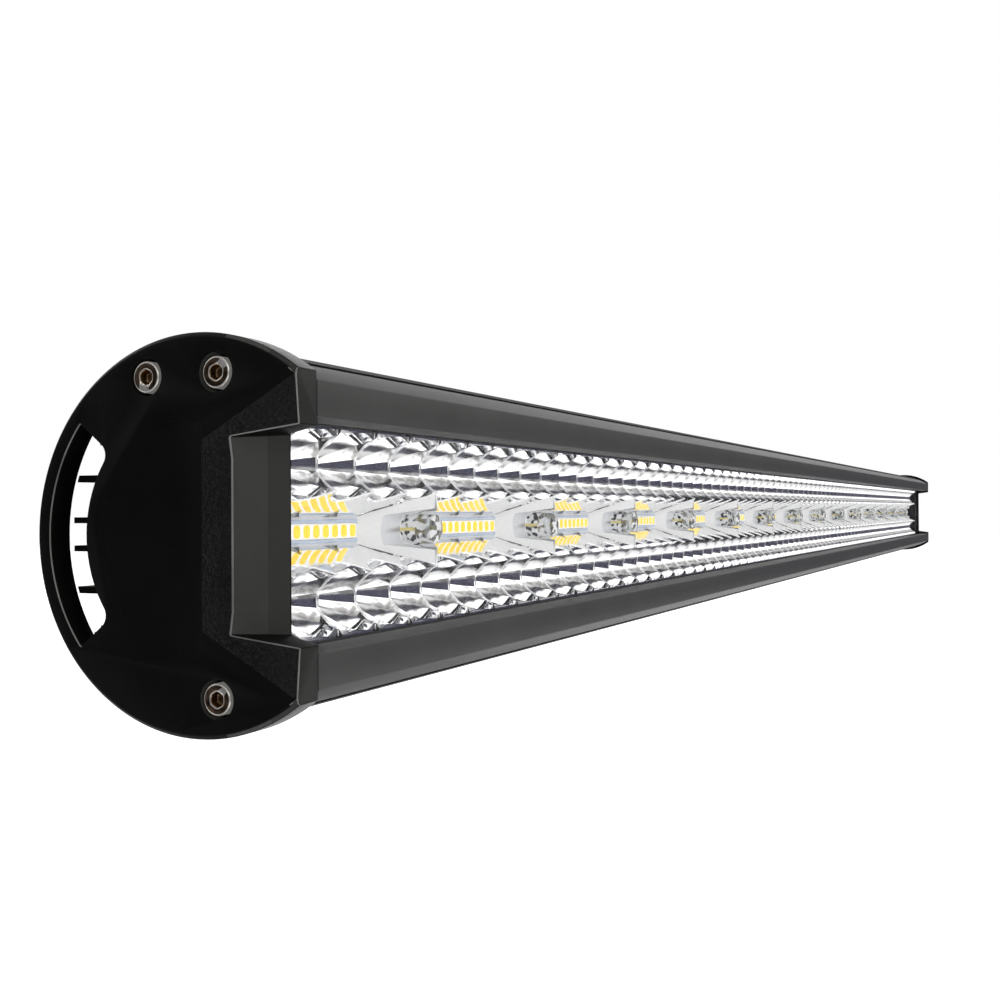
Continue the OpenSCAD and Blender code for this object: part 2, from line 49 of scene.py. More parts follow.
# ---------------------------------------- driving sizes, in millimetres
BAR_L = round((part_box("end_plate_right")[1].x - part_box("end_plate_left")[0].x) / MM, 3)
HALF_L = BAR_L / 2
PLATE_FRONT = 26.6  # from the bar's axis to a plate's front
AXIS_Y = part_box("end_plate_left")[0].y / MM + PLATE_FRONT
MODULE_COLS = [11, 10, 10, 13, 10, 10, 11]  # cup columns in each reflector
CUP_COLS = sum(MODULE_COLS)
PITCH = 17.8
CREST_STEP = 5
CREST_COLS = range(CREST_STEP, CUP_COLS, CREST_STEP)
STRIP_COLS = range(0, CUP_COLS, CREST_STEP)
ROW_Z = 16.4
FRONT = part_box("reflector_1")[0].y / MM  # reflector's front plane
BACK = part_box("reflector_1")[1].y / MM
DEPTH = BACK - FRONT
CHIP_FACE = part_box("strip_leds_1")[0].y / MM
BOARD_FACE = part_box("led_board_1")[0].y / MM

# Cups: sixteen petals on a gently curved profile
PETALS = 16
CUP_FLOOR_R = 3.2
CUP_SLOPE = 0.939
CUP_CURVE = 0.0275
TOP_H = 30.0  # higher than all of the optics
BAND_H = [0, 1.6, 3.4, 5.6, 7.9, 10.6, DEPTH, TOP_H]
RIDGE_HALF = 0.2
RIDGE_RISE = 0.08
RIM_R = 0.27
RIM_SUNK = 0.05
RIM_STEPS = 16
PETAL_CROWN = 0.42
OUTER_WALL = 24.6
OUTER_EDGE = 25.0

# Centre row
WALL_LEAN = 0.652
WALL_BEND = 9.46
WALL_Z = [3.3, 3.7, 4.2, 4.9, 5.6, 6.4, 7.2, 8, 8.8, 9.6, 10.6]
WALL_FOOT_Z = 4.3
FLOOR_H = 0.5
BORE_R = 5.0
BORE_SIDES = 28
BORE_RIM_R = 0.16
BORE_SUNK = 0.2
RAMP_L = 22.25
CREST_H = 12.9
CREST_HALF_T = 0.45
CREST_SUNK = 0.4
POCKET_H = 4.1
POCKET_HALF = 4.0
POCKET_LEAN = 0.22
POCKET_BOW = 32.0
POCKET_Z = [0, 1.4, 2.7, POCKET_HALF, 6.2]
SLOT_SUNK = 0.1
STRIP_HALF_H = 2.1
STRIP_CHIPS = 10
STRIP_CHIP_PITCH = 4.42
STRIP_BEAD_R = 0.42
STRIP_BEAD_OUT = 0.45  # from the slot's edge to a bead's axis
STRIP_BEAD_SHORT = 0.2
STRIP_BEAD_SIDES = 8

# Lenses, turned about their own axes
LENS_BASE = CHIP_FACE - 0.2  # depth of the foot's back
LENS_TIP = FRONT + 0.05
LENS_HOLLOW = [(0, 1.5), (1.1, 1.35), (1.9, 0.8), (2.3, 0)]
LENS_R = 4.8
LENS_BODY_R = 4.1
LENS_FOOT_H = 4.8
LENS_EDGE = 0.5
LENS_CROWN_R = 8.5
LENS_TURN = math.acos(LENS_BODY_R / LENS_R)  # of the arc from the foot to the rod
LENS_HEART_HALF = 0.45  # half the width of the chip's painted, stretched image


def ridge_x(k):
    """Place along the bar of the ridge before cup column k."""
    return (k - CUP_COLS / 2) * PITCH


def module_span(i):
    low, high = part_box(f"reflector_{i}")
    return low.x / MM, high.x / MM


def module_columns(i):
    """A module's first cup column, and the one after its last."""
    first = sum(MODULE_COLS[:i - 1])
    return first, first + MODULE_COLS[i - 1]


def module_crests(i):
    """Places along the bar of a module's crests, each with its lens."""
    first, last = module_columns(i)
    return [ridge_x(k) for k in CREST_COLS if first < k < last]


def strip_span(k):
    """The middle, and half the length, of the strip that starts after column k."""
    return ridge_x(k + CREST_STEP / 2), CREST_STEP * PITCH / 2 - RAMP_L


def cup_radius(h):
    flat = min(h, DEPTH)
    r = CUP_FLOOR_R + CUP_SLOPE * flat - CUP_CURVE * flat * flat
    return r + (h - flat) * (CUP_SLOPE - 2 * CUP_CURVE * DEPTH)


def cup_slope(h):
    return CUP_SLOPE - 2 * CUP_CURVE * min(h, DEPTH)


def ramp_h(u):
    return FLOOR_H + (CREST_H - FLOOR_H) * max(0, 1 - u / RAMP_L)


def wall_h(z):
    """The row's side wall: hollow enough to fill most of itself with the strip's chips."""
    return WALL_LEAN * (z - WALL_Z[0]) + (z * z - WALL_Z[0] ** 2) / WALL_BEND


def wall_slope(z):
    return WALL_LEAN + 2 * z / WALL_BEND


def wall_z(h):
    foot = WALL_LEAN * WALL_Z[0] + WALL_Z[0] ** 2 / WALL_BEND
    return WALL_BEND / 2 * (math.sqrt(WALL_LEAN ** 2 + 4 / WALL_BEND * (foot + h)) - WALL_LEAN)


def wall_bands():
    """(z0, z1, slope, offset) of each straight piece of the wall's profile."""
    out = []
    for z0, z1 in zip(WALL_Z, WALL_Z[1:]):
        slope = (wall_h(z1) - wall_h(z0)) / (z1 - z0)
        out.append((z0, z1, slope, wall_h(z0) - slope * z0))
    return out


def pocket_h(z):
    """Height of the shallow channel that the lens stands in, at z from its middle."""
    flat = min(abs(z), POCKET_HALF)
    return POCKET_H + flat * flat / POCKET_BOW + (abs(z) - flat) / POCKET_LEAN


# ---------------------------------------- materials

def new_material(name):
    m = bpy.data.materials.new(name)
    m.use_nodes = True
    return m, m.node_tree, m.node_tree.nodes["Principled BSDF"]


def object_noise(tree, scale, detail=3.0, rough=0.6):
    """A noise that is fixed to the object."""
    place = tree.nodes.new("ShaderNodeTexCoord")
    noise = tree.nodes.new("ShaderNodeTexNoise")
    noise.inputs["Scale"].default_value = scale
    noise.inputs["Detail"].default_value = detail
    noise.inputs["Roughness"].default_value = rough
    tree.links.new(place.outputs["Object"], noise.inputs["Vector"])
    return noise.outputs["Fac"]


def ramp(tree, source, stops):
    """A colour ramp from (place, colour) stops. A colour of one number is a grey."""
    r = tree.nodes.new("ShaderNodeValToRGB")
    while len(r.color_ramp.elements) < len(stops):
        r.color_ramp.elements.new(0.5)
    for e, (at, colour) in zip(r.color_ramp.elements, stops):
        e.position = at
        e.color = (*colour, 1) if len(colour) == 3 else (*(colour * 3), 1)
    tree.links.new(source, r.inputs["Fac"])
    return r.outputs["Color"]


def colour_by(tree, bsdf, noise, dark, light, spread=0.2):
    """Lets a noise shift the surface's colour from dark to light."""
    tone = ramp(tree, noise, [(0.5 - spread, dark), (0.5 + spread, light)])
    tree.links.new(tone, bsdf.inputs["Base Color"])


def gloss_by(tree, bsdf, noise, low, high):
    """Lets a noise shift the surface's roughness from low to high."""
    tree.links.new(ramp(tree, noise, [(0.3, (low,)), (0.7, (high,))]), bsdf.inputs["Roughness"])


def bump_by(tree, bsdf, noise, strength, distance=0.0002):
    """Lets a noise raise the surface, by a distance in metres."""
    b = tree.nodes.new("ShaderNodeBump")
    b.inputs["Strength"].default_value = strength
    b.inputs["Distance"].default_value = distance
    tree.links.new(noise, b.inputs["Height"])
    tree.links.new(b.outputs["Normal"], bsdf.inputs["Normal"])


def math_node(tree, operation, first, second=0.0):
    """A math node on a socket and, second, a number or another socket."""
    m = tree.nodes.new("ShaderNodeMath")
    m.operation = operation
    tree.links.new(first, m.inputs[0])
    if isinstance(second, float):
        m.inputs[1].default_value = second
    else:
        tree.links.new(second, m.inputs[1])
    return m


def lit(m, colour, strength):
    """Adds a glow to a material. On the bar's parts it is painted light, brighter than the studio's
    light makes them; on the floor it keeps the floor evenly white.
    """
    bsdf = m.node_tree.nodes["Principled BSDF"]
    bsdf.inputs["Emission Color"].default_value = (*colour, 1)
    bsdf.inputs["Emission Strength"].default_value = strength
    return m


def powder_coat(name, dark, light, specular, roughness=0.5, grain=2600, strength=0.4,
                distance=0.0002):
    """Black powder coat: fine orange peel, with a slight change of tone and gloss."""
    m, tree, bsdf = new_material(name)
    fine = object_noise(tree, grain, 2.0, 0.7)
    colour_by(tree, bsdf, object_noise(tree, COAT_CLOUDS), dark, light)
    gloss_by(tree, bsdf, fine, roughness - 0.06, roughness + 0.08)
    bsdf.inputs["Specular IOR Level"].default_value = specular
    bump_by(tree, bsdf, fine, strength, distance)
    return m


def mirror_material():
    """Vacuum-metallised plastic: nearly a mirror, with faint moulding ripple."""
    m, tree, bsdf = new_material("mirror")
    ripple = object_noise(tree, 260, 1.0)
    colour_by(tree, bsdf, ripple, (0.86, 0.865, 0.875), (0.93, 0.93, 0.935), 0.15)
    gloss_by(tree, bsdf, ripple, 0.03, 0.06)
    bsdf.inputs["Metallic"].default_value = 1.0
    bump_by(tree, bsdf, ripple, 0.03, 0.0003)
    return m


def satin_material(name, glow, dark, light):
    """The centre row's floor and ramps: the same metallising over a fine matt texture, with a
    painted glow of the given strength.
    """
    m, tree, bsdf = new_material(name)
    grain = object_noise(tree, 700, 2.0)
    colour_by(tree, bsdf, grain, dark, light, 0.15)
    gloss_by(tree, bsdf, grain, 0.42, 0.55)
    bsdf.inputs["Metallic"].default_value = 0.1
    bsdf.inputs["Specular IOR Level"].default_value = 0.2
    bump_by(tree, bsdf, grain, 0.1)
    return lit(m, (1.0, 1.0, 0.99), glow)


def metal(name, dark, light, roughness):
    m, tree, bsdf = new_material(name)
    grain = object_noise(tree, 400)
    colour_by(tree, bsdf, grain, dark, light)
    gloss_by(tree, bsdf, grain, roughness - 0.05, roughness + 0.08)
    bsdf.inputs["Metallic"].default_value = 1.0
    bump_by(tree, bsdf, grain, 0.1)
    return m


def plastic(name, dark, light, roughness):
    m, tree, bsdf = new_material(name)
    grain = object_noise(tree, 300)
    colour_by(tree, bsdf, grain, dark, light)
    bsdf.inputs["Roughness"].default_value = roughness
    bump_by(tree, bsdf, grain, 0.1)
    return m


def glowing(name, dark, light, roughness, strength):
    """A pale plastic with a painted glow, as if scattered light lit it from within."""
    return lit(plastic(name, dark, light, roughness), light, strength)


def lens_material(name, scale, dark_to, light_from, heart):
    """Clear plastic with hard dark and white streaks painted into its colour, standing in for the
    reflections and refractions that a thick lens gathers.

    A lens's foot also carries a painted image of its chip, stretched into a line of the colour
    heart.
    """
    m, tree, bsdf = new_material(name)
    streak = object_noise(tree, scale, 0.5)
    colour = ramp(tree, streak,
                  [(dark_to - 0.02, (0.02, 0.02, 0.03)), (dark_to, (0.93, 0.97, 0.95)),
                   (light_from - 0.01, (0.95, 0.98, 0.96)), (light_from, (1.0,))])
    through = ramp(tree, streak, [(dark_to - 0.01, (0.0,)), (dark_to + 0.01, (0.9,)),
                                  (light_from - 0.01, (0.9,)), (light_from + 0.01, (0.0,))])
    if heart:
        place = tree.nodes.new("ShaderNodeTexCoord")
        split = tree.nodes.new("ShaderNodeSeparateXYZ")
        tree.links.new(place.outputs["Object"], split.inputs["Vector"])
        away = math_node(tree, "ABSOLUTE", split.outputs["Z"])
        line = math_node(tree, "LESS_THAN", away.outputs[0], LENS_HEART_HALF * MM)
        mix = tree.nodes.new("ShaderNodeMix")
        mix.data_type = "RGBA"
        mix.inputs["B"].default_value = heart
        tree.links.new(line.outputs[0], mix.inputs["Factor"])
        tree.links.new(colour, mix.inputs["A"])
        colour = mix.outputs["Result"]
        keep = math_node(tree, "SUBTRACT", through, line.outputs[0])
        keep.use_clamp = True
        through = keep.outputs[0]
    tree.links.new(colour, bsdf.inputs["Base Color"])
    tree.links.new(through, bsdf.inputs["Transmission Weight"])
    bsdf.inputs["Roughness"].default_value = 0.02
    bsdf.inputs["IOR"].default_value = 1.49
    return m


def cover_material():
    """A flat clear sheet: light passes straight through, and only a little gloss shows."""
    m, tree, bsdf = new_material("cover_clear")
    colour_by(tree, bsdf, object_noise(tree, 30), (0.95, 0.97, 0.98), (1.0,))
    bsdf.inputs["Roughness"].default_value = 0.03
    bsdf.inputs["Alpha"].default_value = 0.03
    m.surface_render_method = "BLENDED"
    return m


def phosphor_material():
    m, tree, bsdf = new_material("phosphor")
    colour_by(tree, bsdf, object_noise(tree, 900), (0.93, 0.62, 0.02), (1.0, 0.78, 0.05))
    bsdf.inputs["Roughness"].default_value = 0.35
    # The phosphor glows though its LED is not lit: painted light.
    return lit(m, (1.0, 0.72, 0.05), 0.45)


COAT_CLOUDS = 45  # scale of a coat's slow change of tone
# The end plate's coats below are one black powder coat in copies of different tone, chosen face by
# face: painted light and shade. The coarse copy also has a coarser grain, and the plate's front
# flanks take the rails' coat.
PLATE = powder_coat("plate_coat", (0.0025, 0.0025, 0.002), (0.004, 0.004, 0.0035), 0.12,
                    strength=0.2, distance=0.0001)
PLATE_COARSE = powder_coat("plate_coat_coarse", (0.003, 0.003, 0.0028), (0.009, 0.009, 0.008),
                           0.2, 0.33, 1100, 1.0, 0.0006)
RAIL = powder_coat("rail_coat", (0.043, 0.043, 0.041), (0.053, 0.053, 0.051), 0.42, 0.44, 3200,
                   0.3)
SCOOP_COAT = powder_coat("scoop_coat", (0.024, 0.025, 0.021), (0.033, 0.034, 0.029), 0.4, 0.46)
SCOOP_DEEP = powder_coat("scoop_coat_deep", (0.018, 0.019, 0.016), (0.024, 0.025, 0.021), 0.35)
HORN_COAT = powder_coat("horn_coat", (0.012, 0.012, 0.010), (0.017, 0.017, 0.015), 0.3)
HOUSING = powder_coat("housing_coat", (0.006, 0.006, 0.0055), (0.010, 0.010, 0.009), 0.03,
                      strength=0.2, distance=0.00015)
# A painted highlight for the plate's eased edges.
EDGE = powder_coat("painted_edge_highlight", (0.09, 0.09, 0.088), (0.22, 0.22, 0.21), 0.5, 0.35, 900, 0.3)
MIRROR = mirror_material()
# The satin glows a little: painted light on the ramps and the crest walls' tops.
SATIN = satin_material("satin_mirror", 0.1, (0.90, 0.905, 0.90), (0.95, 0.955, 0.95))
# A darker, cooler copy of the satin with less glow: painted shade in the lens's pocket, at the foot
# of the row's walls, on the crest walls' sides and on the floor round each strip.
POCKET = satin_material("satin_painted_shade", 0.05, (0.76, 0.775, 0.80), (0.82, 0.835, 0.86))
# The bore's mirror glows: painted light, as if the chip lit it through the lens. The beads along
# the rims and ridges take it too, as painted highlights.
BORE = lit(metal("bore_mirror_painted_glow", (0.86, 0.87, 0.87), (0.95,), 0.1), (1, 1, 1), 0.25)
# The steel glows a little: painted light that brightens the screws, board links and board screws.
STEEL = lit(metal("stainless", (0.60, 0.57, 0.53), (0.85, 0.82, 0.78), 0.3), (1, 0.97, 0.9), 0.13)
# A darker, browner steel for the inside of the hexagon sockets: painted shade in the recess.
SOCKET = metal("socket_steel_painted_shade", (0.16, 0.1, 0.05), (0.38, 0.27, 0.16), 0.35)
RUBBER = plastic("rubber", (0.012,), (0.022,), 0.7)
NYLON = plastic("nylon", (0.015,), (0.03,), 0.5)
# Lenses with painted streaks of reflection, and on each foot a painted image of its chip.
LENS = lens_material("lens_plastic", 520, 0.30, 0.52, None)
LENS_FOOT = lens_material("lens_foot", 640, 0.42, 0.47, (0.9, 0.78, 0.3, 1))
COVER = cover_material()
PHOSPHOR = phosphor_material()
# The packages and the strips' rails glow: painted light.
PACKAGE = glowing("led_package", (0.93, 0.92, 0.88), (0.98, 0.97, 0.95), 0.35, 0.3)
STRIP_RAIL = glowing("strip_rail", (0.50, 0.60, 0.76), (0.62, 0.71, 0.85), 0.25, 0.12)
CLIP = plastic("clip_white", (0.86, 0.86, 0.84), (0.94, 0.94, 0.92), 0.25)
BOARD = plastic("board_white", (0.8, 0.8, 0.78), (0.88, 0.88, 0.86), 0.3)
GREEN = plastic("board_green", (0.01, 0.07, 0.03), (0.02, 0.11, 0.05), 0.35)
DARK_PART = plastic("driver_parts", (0.02, 0.02, 0.02), (0.05, 0.045, 0.04), 0.45)
WIRE = plastic("wire_red", (0.35, 0.02, 0.015), (0.5, 0.04, 0.03), 0.5)
REFLECTOR_LOOKS = [MIRROR, SATIN, BORE, POCKET]
MIRROR_SLOT, SATIN_SLOT, MIRROR_GLOW_SLOT, SATIN_SHADE_SLOT = range(len(REFLECTOR_LOOKS))


# ---------------------------------------- mesh helpers

def link_piece(name, mesh, materials, replaced):
    obj = bpy.data.objects.new(name, mesh)
    bpy.context.scene.collection.objects.link(obj)
    for m in materials:
        mesh.materials.append(m)
    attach(obj, ROOT)
    if replaced:
        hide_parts(*replaced)
    return obj


class Patch:
    """A growing mesh whose points are (along, height above the boards, z) in millimetres."""

    def __init__(self):
        self.points = []
        self.index = {}
        self.faces = []
        self.normals = []
        self.slots = []

    def vertex(self, p):
        key = tuple(round(c, 4) for c in p)
        if key not in self.index:
            self.index[key] = len(self.points)
            self.points.append(p)
        return self.index[key]

    def face(self, corners, normals=None, slot=MIRROR_SLOT, flip=False):
        """Adds one face. Its normals are given for each corner, or worked out flat."""
        if flip:
            corners, normals = corners[::-1], normals and normals[::-1]
        ids = []
        kept = []
        for i, p in enumerate(corners):
            v = self.vertex(p)
            if v not in ids:
                ids.append(v)
                kept.append(i)
        if len(ids) < 3:
            return
        a, b, c = (Vector(corners[k]) for k in (kept[0], kept[1], kept[-1]))
        flat = (b - a).cross(c - a)
        if flat.length < 1e-9:
            return
        self.faces.append(ids)
        self.normals.append([normals[k] for k in kept] if normals else None)
        self.slots.append(slot)

    def mesh(self, name):
        me = bpy.data.meshes.new(name)
        verts = [(x * MM, (BACK - h) * MM, z * MM) for x, h, z in self.points]
        me.from_pydata(verts, [], self.faces)
        me.polygons.foreach_set("material_index", self.slots)
        me.polygons.foreach_set("use_smooth", [True] * len(self.faces))
        me.update()
        loops = []
        for poly, given in zip(me.polygons, self.normals):
            if given is None:
                loops += [poly.normal.copy()] * poly.loop_total
            else:
                loops += [Vector((n[0], -n[1], n[2])).normalized() for n in given]
        me.normals_split_custom_set(loops)
        return me


def clip(poly, a, b, c):
    """The part of a plan polygon, a list of (x, z), where a*x + b*z + c is not negative."""
    out = []
    for i, p in enumerate(poly):
        q = poly[(i + 1) % len(poly)]
        dp = a * p[0] + b * p[1] + c
        dq = a * q[0] + b * q[1] + c
        if dp >= -1e-9:
            out.append(p)
        if (dp > 1e-9 and dq < -1e-9) or (dp < -1e-9 and dq > 1e-9):
            t = dp / (dp - dq)
            out.append((p[0] + t * (q[0] - p[0]), p[1] + t * (q[1] - p[1])))
    return out


def big_enough(poly):
    """Whether a plan polygon has an area worth a face."""
    area = sum(p[0] * q[1] - q[0] * p[1] for p, q in zip(poly, poly[1:] + poly[:1])) / 2
    return len(poly) >= 3 and abs(area) > FINE


# ---------------------------------------- reflectors

def cup_point(cx, side, p, h):
    """A patch point from a plan point (dx, dz) about a cup's centre, with dz outwards."""
    return (cx + p[0], h, side * (ROW_Z + p[1]))


def petal_height(phi, band):
    """(a, b, c) so that a petal's height over a band is a*dx + b*dz + c."""
    h0, h1 = BAND_H[band], BAND_H[band + 1]
    r0, r1 = cup_radius(h0), cup_radius(h1)
    rise = (h1 - h0) / (r1 - r0)
    return rise * math.cos(phi), rise * math.sin(phi), h0 - rise * r0


def petal_normal(phi, side, x, z, h):
    turn = math.atan2(z, x) - phi
    turn = math.atan2(math.sin(turn), math.cos(turn))
    at = phi + PETAL_CROWN * turn
    return (-math.cos(at), cup_slope(h), side * -math.sin(at))


def petal_plan(phi, band, cx, x0, x1):
    """The plan of one band of a petal, cut to its cup's cell and to the module."""
    c, s = math.cos(phi), math.sin(phi)
    r0, r1 = cup_radius(BAND_H[band]), cup_radius(BAND_H[band + 1])
    t = math.tan(math.pi / PETALS)
    plan = [(r0, -r0 * t), (r1, -r1 * t), (r1, r1 * t), (r0, r0 * t)]
    plan = [(c * x - s * z, s * x + c * z) for x, z in plan]
    reach = PITCH / 2 - RIDGE_HALF
    for cut in ((0, -1, OUTER_WALL - ROW_Z), (1, 0, reach), (-1, 0, reach), (1, 0, cx - x0),
                (-1, 0, x1 - cx), (0, 1, ROW_Z - WALL_Z[0])):
        plan = clip(plan, *cut)
    return plan


def cup(patch, cx, side, x0, x1):
    """One cup of a row, petal by petal and band by band."""
    for n in range(PETALS):
        phi = 2 * math.pi * n / PETALS
        for band in range(len(BAND_H) - 1):
            plan = petal_plan(phi, band, cx, x0, x1)
            if len(plan) >= 3:
                petal_band(patch, cx, side, phi, band, plan)


def petal_band(patch, cx, side, phi, band, plan):
    """Where the petal is the lower surface it shows, and elsewhere the row's wall does."""
    a, b, k = petal_height(phi, band)
    insides = [clip(plan, 0, 1, ROW_Z - WALL_Z[-1])]
    for z0, z1, slope, offset in wall_bands():
        part = clip(clip(plan, 0, 1, ROW_Z - z0), 0, -1, z1 - ROW_Z)
        if len(part) < 3:
            continue
        wall_k = slope * ROW_Z + offset
        insides.append(clip(part, -a, slope - b, wall_k - k))
        outside = clip(part, a, b - slope, k - wall_k)
        if big_enough(outside):
            row_wall(patch, cx, side, outside, slope, offset)
    for inside in insides:
        if not big_enough(inside) or BAND_H[band] >= DEPTH:
            continue
        heights = [a * p[0] + b * p[1] + k for p in inside]
        points = [cup_point(cx, side, p, h) for p, h in zip(inside, heights)]
        normals = [petal_normal(phi, side, *p, h) for p, h in zip(inside, heights)]
        patch.face(points, normals, flip=side < 0)
        edges_of_cup(patch, cx, side, inside, heights, normals)


def edges_of_cup(patch, cx, side, plan, heights, normals):
    """Rounds the ridge to the next cup, and raises the outer wall to the front plane."""
    limit = PITCH / 2 - RIDGE_HALF
    wall, edge = OUTER_WALL - ROW_Z, OUTER_EDGE - ROW_Z
    for i, p in enumerate(plan):
        j = (i + 1) % len(plan)
        q = plan[j]
        low_p = cup_point(cx, side, p, heights[i])
        low_q = cup_point(cx, side, q, heights[j])
        for s in (-1, 1):
            if abs(p[0] - s * limit) < FINE and abs(q[0] - s * limit) < FINE:
                top_p, top_q = (
                    cup_point(cx, side, (s * PITCH / 2, at[1]), min(h + RIDGE_RISE, DEPTH))
                    for at, h in ((p, heights[i]), (q, heights[j])))
                patch.face([low_q, low_p, top_p, top_q],
                           [normals[j], normals[i], (0, 1, 0), (0, 1, 0)], flip=side < 0)
        if abs(p[1] - wall) < FINE and abs(q[1] - wall) < FINE:
            inner_p, inner_q = (cup_point(cx, side, at, DEPTH) for at in (p, q))
            outer_p, outer_q = (cup_point(cx, side, (at[0], edge), DEPTH) for at in (p, q))
            back_p, back_q = (cup_point(cx, side, (at[0], edge), 0) for at in (p, q))
            for corners in ([low_q, low_p, inner_p, inner_q], [inner_q, inner_p, outer_p, outer_q],
                            [outer_q, outer_p, back_p, back_q]):
                patch.face(corners, flip=side < 0)


def row_wall(patch, cx, side, poly, slope, offset):
    """A piece of the centre row's curved side wall, where the ramps leave it visible."""
    poly = [(cx + x, ROW_Z + z) for x, z in poly]
    nearest = min(CREST_COLS, key=lambda k: abs(ridge_x(k) - cx))
    crest = ridge_x(nearest)
    fall = (CREST_H - FLOOR_H) / RAMP_L
    parts = []
    for s in (-1, 1):
        on_side = clip(poly, s, 0, -s * crest)
        near = clip(on_side, -s, 0, s * crest + RAMP_L)
        parts.append(clip(near, s * fall, slope, offset - CREST_H - fall * s * crest))
        far = clip(on_side, s, 0, -s * crest - RAMP_L)
        parts.append(clip(far, 0, slope, offset - FLOOR_H))
    for part in parts:
        if big_enough(part):
            points = [(x, slope * z + offset, side * z) for x, z in part]
            normals = [(0, 1, -side * wall_slope(z)) for x, z in part]
            # Near its foot the wall takes the darker satin: painted shade in the crease.
            at_foot = max(z for x, z in part) < WALL_FOOT_Z
            patch.face(points, normals, SATIN_SHADE_SLOT if at_foot else MIRROR_SLOT, side < 0)


def ridge_fill(patch, k, side, x0, x1):
    """The narrow strip of the row wall under a ridge between two cups."""
    x = ridge_x(k)
    top = wall_z(rim_height(PITCH / 2))
    for s in (-1, 1):
        a, b = sorted((x, x - s * RIDGE_HALF))
        a, b = max(a, x0), min(b, x1)
        if b - a < FINE:
            continue
        for z0, z1, slope, offset in wall_bands():
            z1 = min(z1, top)
            if z1 - z0 > FINE:
                poly = [(a, z0), (b, z0), (b, z1), (a, z1)]
                row_wall(patch, 0, side, [(px, pz - ROW_Z) for px, pz in poly], slope, offset)


def highest(inside):
    """The height at which inside(height) stops being true, by halving."""
    lo, hi = 0.0, TOP_H
    for _ in range(40):
        h = (lo + hi) / 2
        if inside(h):
            lo = h
        else:
            hi = h
    return lo


def petal_reach(dx, dz):
    """A plan point's distance from its cup's centre, measured square to the nearest petal."""
    return max(math.cos(t) * dx + math.sin(t) * dz
               for t in (2 * math.pi * n / PETALS for n in range(PETALS)))


def rim_height(dx):
    """Height at which a cup and the row wall meet, at a distance along from the cup's centre."""
    return highest(lambda h: petal_reach(dx, wall_z(h) - ROW_Z) > cup_radius(h))


def ridge_height(dz):
    """Height of the ridge between two cups, at a distance out from their centres' line."""
    return highest(lambda h: petal_reach(PITCH / 2, dz) > cup_radius(h))


def bore_ring():
    """The corners of a lens's bore, about its axis."""
    return [(BORE_R * math.cos(t), BORE_R * math.sin(t))
            for t in (2 * math.pi * i / BORE_SIDES for i in range(BORE_SIDES))]


def outside_bore(poly):
    """The pieces of a plan polygon that lie outside the bore, all convex."""
    out = []
    ring = bore_ring()
    for p, q in zip(ring, ring[1:] + ring[:1]):
        a, b = q[1] - p[1], p[0] - q[0]
        c = -(a * p[0] + b * p[1])
        piece = clip(poly, a, b, c)
        if big_enough(piece):
            out.append(piece)
        poly = clip(poly, -a, -b, -c)
        if len(poly) < 3:
            break
    return out


def centre_row(patch, x0, x1):
    """Floor, ramps, half-pipe pockets and crest walls, between the two curved side walls."""
    knots = sorted(set(POCKET_Z + WALL_Z[:-1] + [wall_z(CREST_H)]))
    for k in [0, *CREST_COLS, CUP_COLS]:
        crest = ridge_x(k)
        for s in (-1, 1):
            for z0, z1 in zip(knots, knots[1:]):
                for side in (-1, 1):
                    ramp_strip(patch, crest, s, side, z0, z1, x0, x1)
        if x0 < crest < x1:
            crest_walls(patch, crest)
            bore_wall(patch, crest)


def ramp_strip(patch, crest, s, side, z0, z1, x0, x1):
    """A ramp between two distances from the row's middle, over the pocket if that is lower."""
    fall = (CREST_H - FLOOR_H) / RAMP_L
    flip = s * side < 0
    plan = [(0, z0), (RAMP_L, z0), (RAMP_L, z1), (0, z1)]
    lo, hi = (x0 - crest, x1 - crest) if s > 0 else (crest - x1, crest - x0)
    plan = clip(clip(plan, 1, 0, -lo), -1, 0, hi)
    if len(plan) < 3:
        return
    if z1 > WALL_Z[0]:
        rise = (wall_h(z1) - wall_h(z0)) / (z1 - z0)
        plan = clip(plan, -fall, -rise, CREST_H - (wall_h(z0) - rise * z0))
    holed = outside_bore(plan) if len(plan) >= 3 else []
    for plan in holed:
        over = plan
        if z1 <= POCKET_Z[-1]:
            b = (pocket_h(z1) - pocket_h(z0)) / (z1 - z0)
            c = pocket_h(z0) - b * z0
            inside = clip(plan, -fall, -b, CREST_H - c)
            over = clip(plan, fall, b, c - CREST_H)
            if big_enough(inside):
                points = [(crest + s * u, b * z + c, side * z) for u, z in inside]
                steep = z1 > POCKET_HALF
                normals = [(0, POCKET_LEAN, -side) if steep else (0, POCKET_BOW, -2 * side * z)
                           for u, z in inside]
                patch.face(points, normals, SATIN_SHADE_SLOT, flip)
        if big_enough(over):
            points = [(crest + s * u, ramp_h(u), side * z) for u, z in over]
            patch.face(points, [(s * fall, 1, 0)] * len(points), SATIN_SLOT, flip)


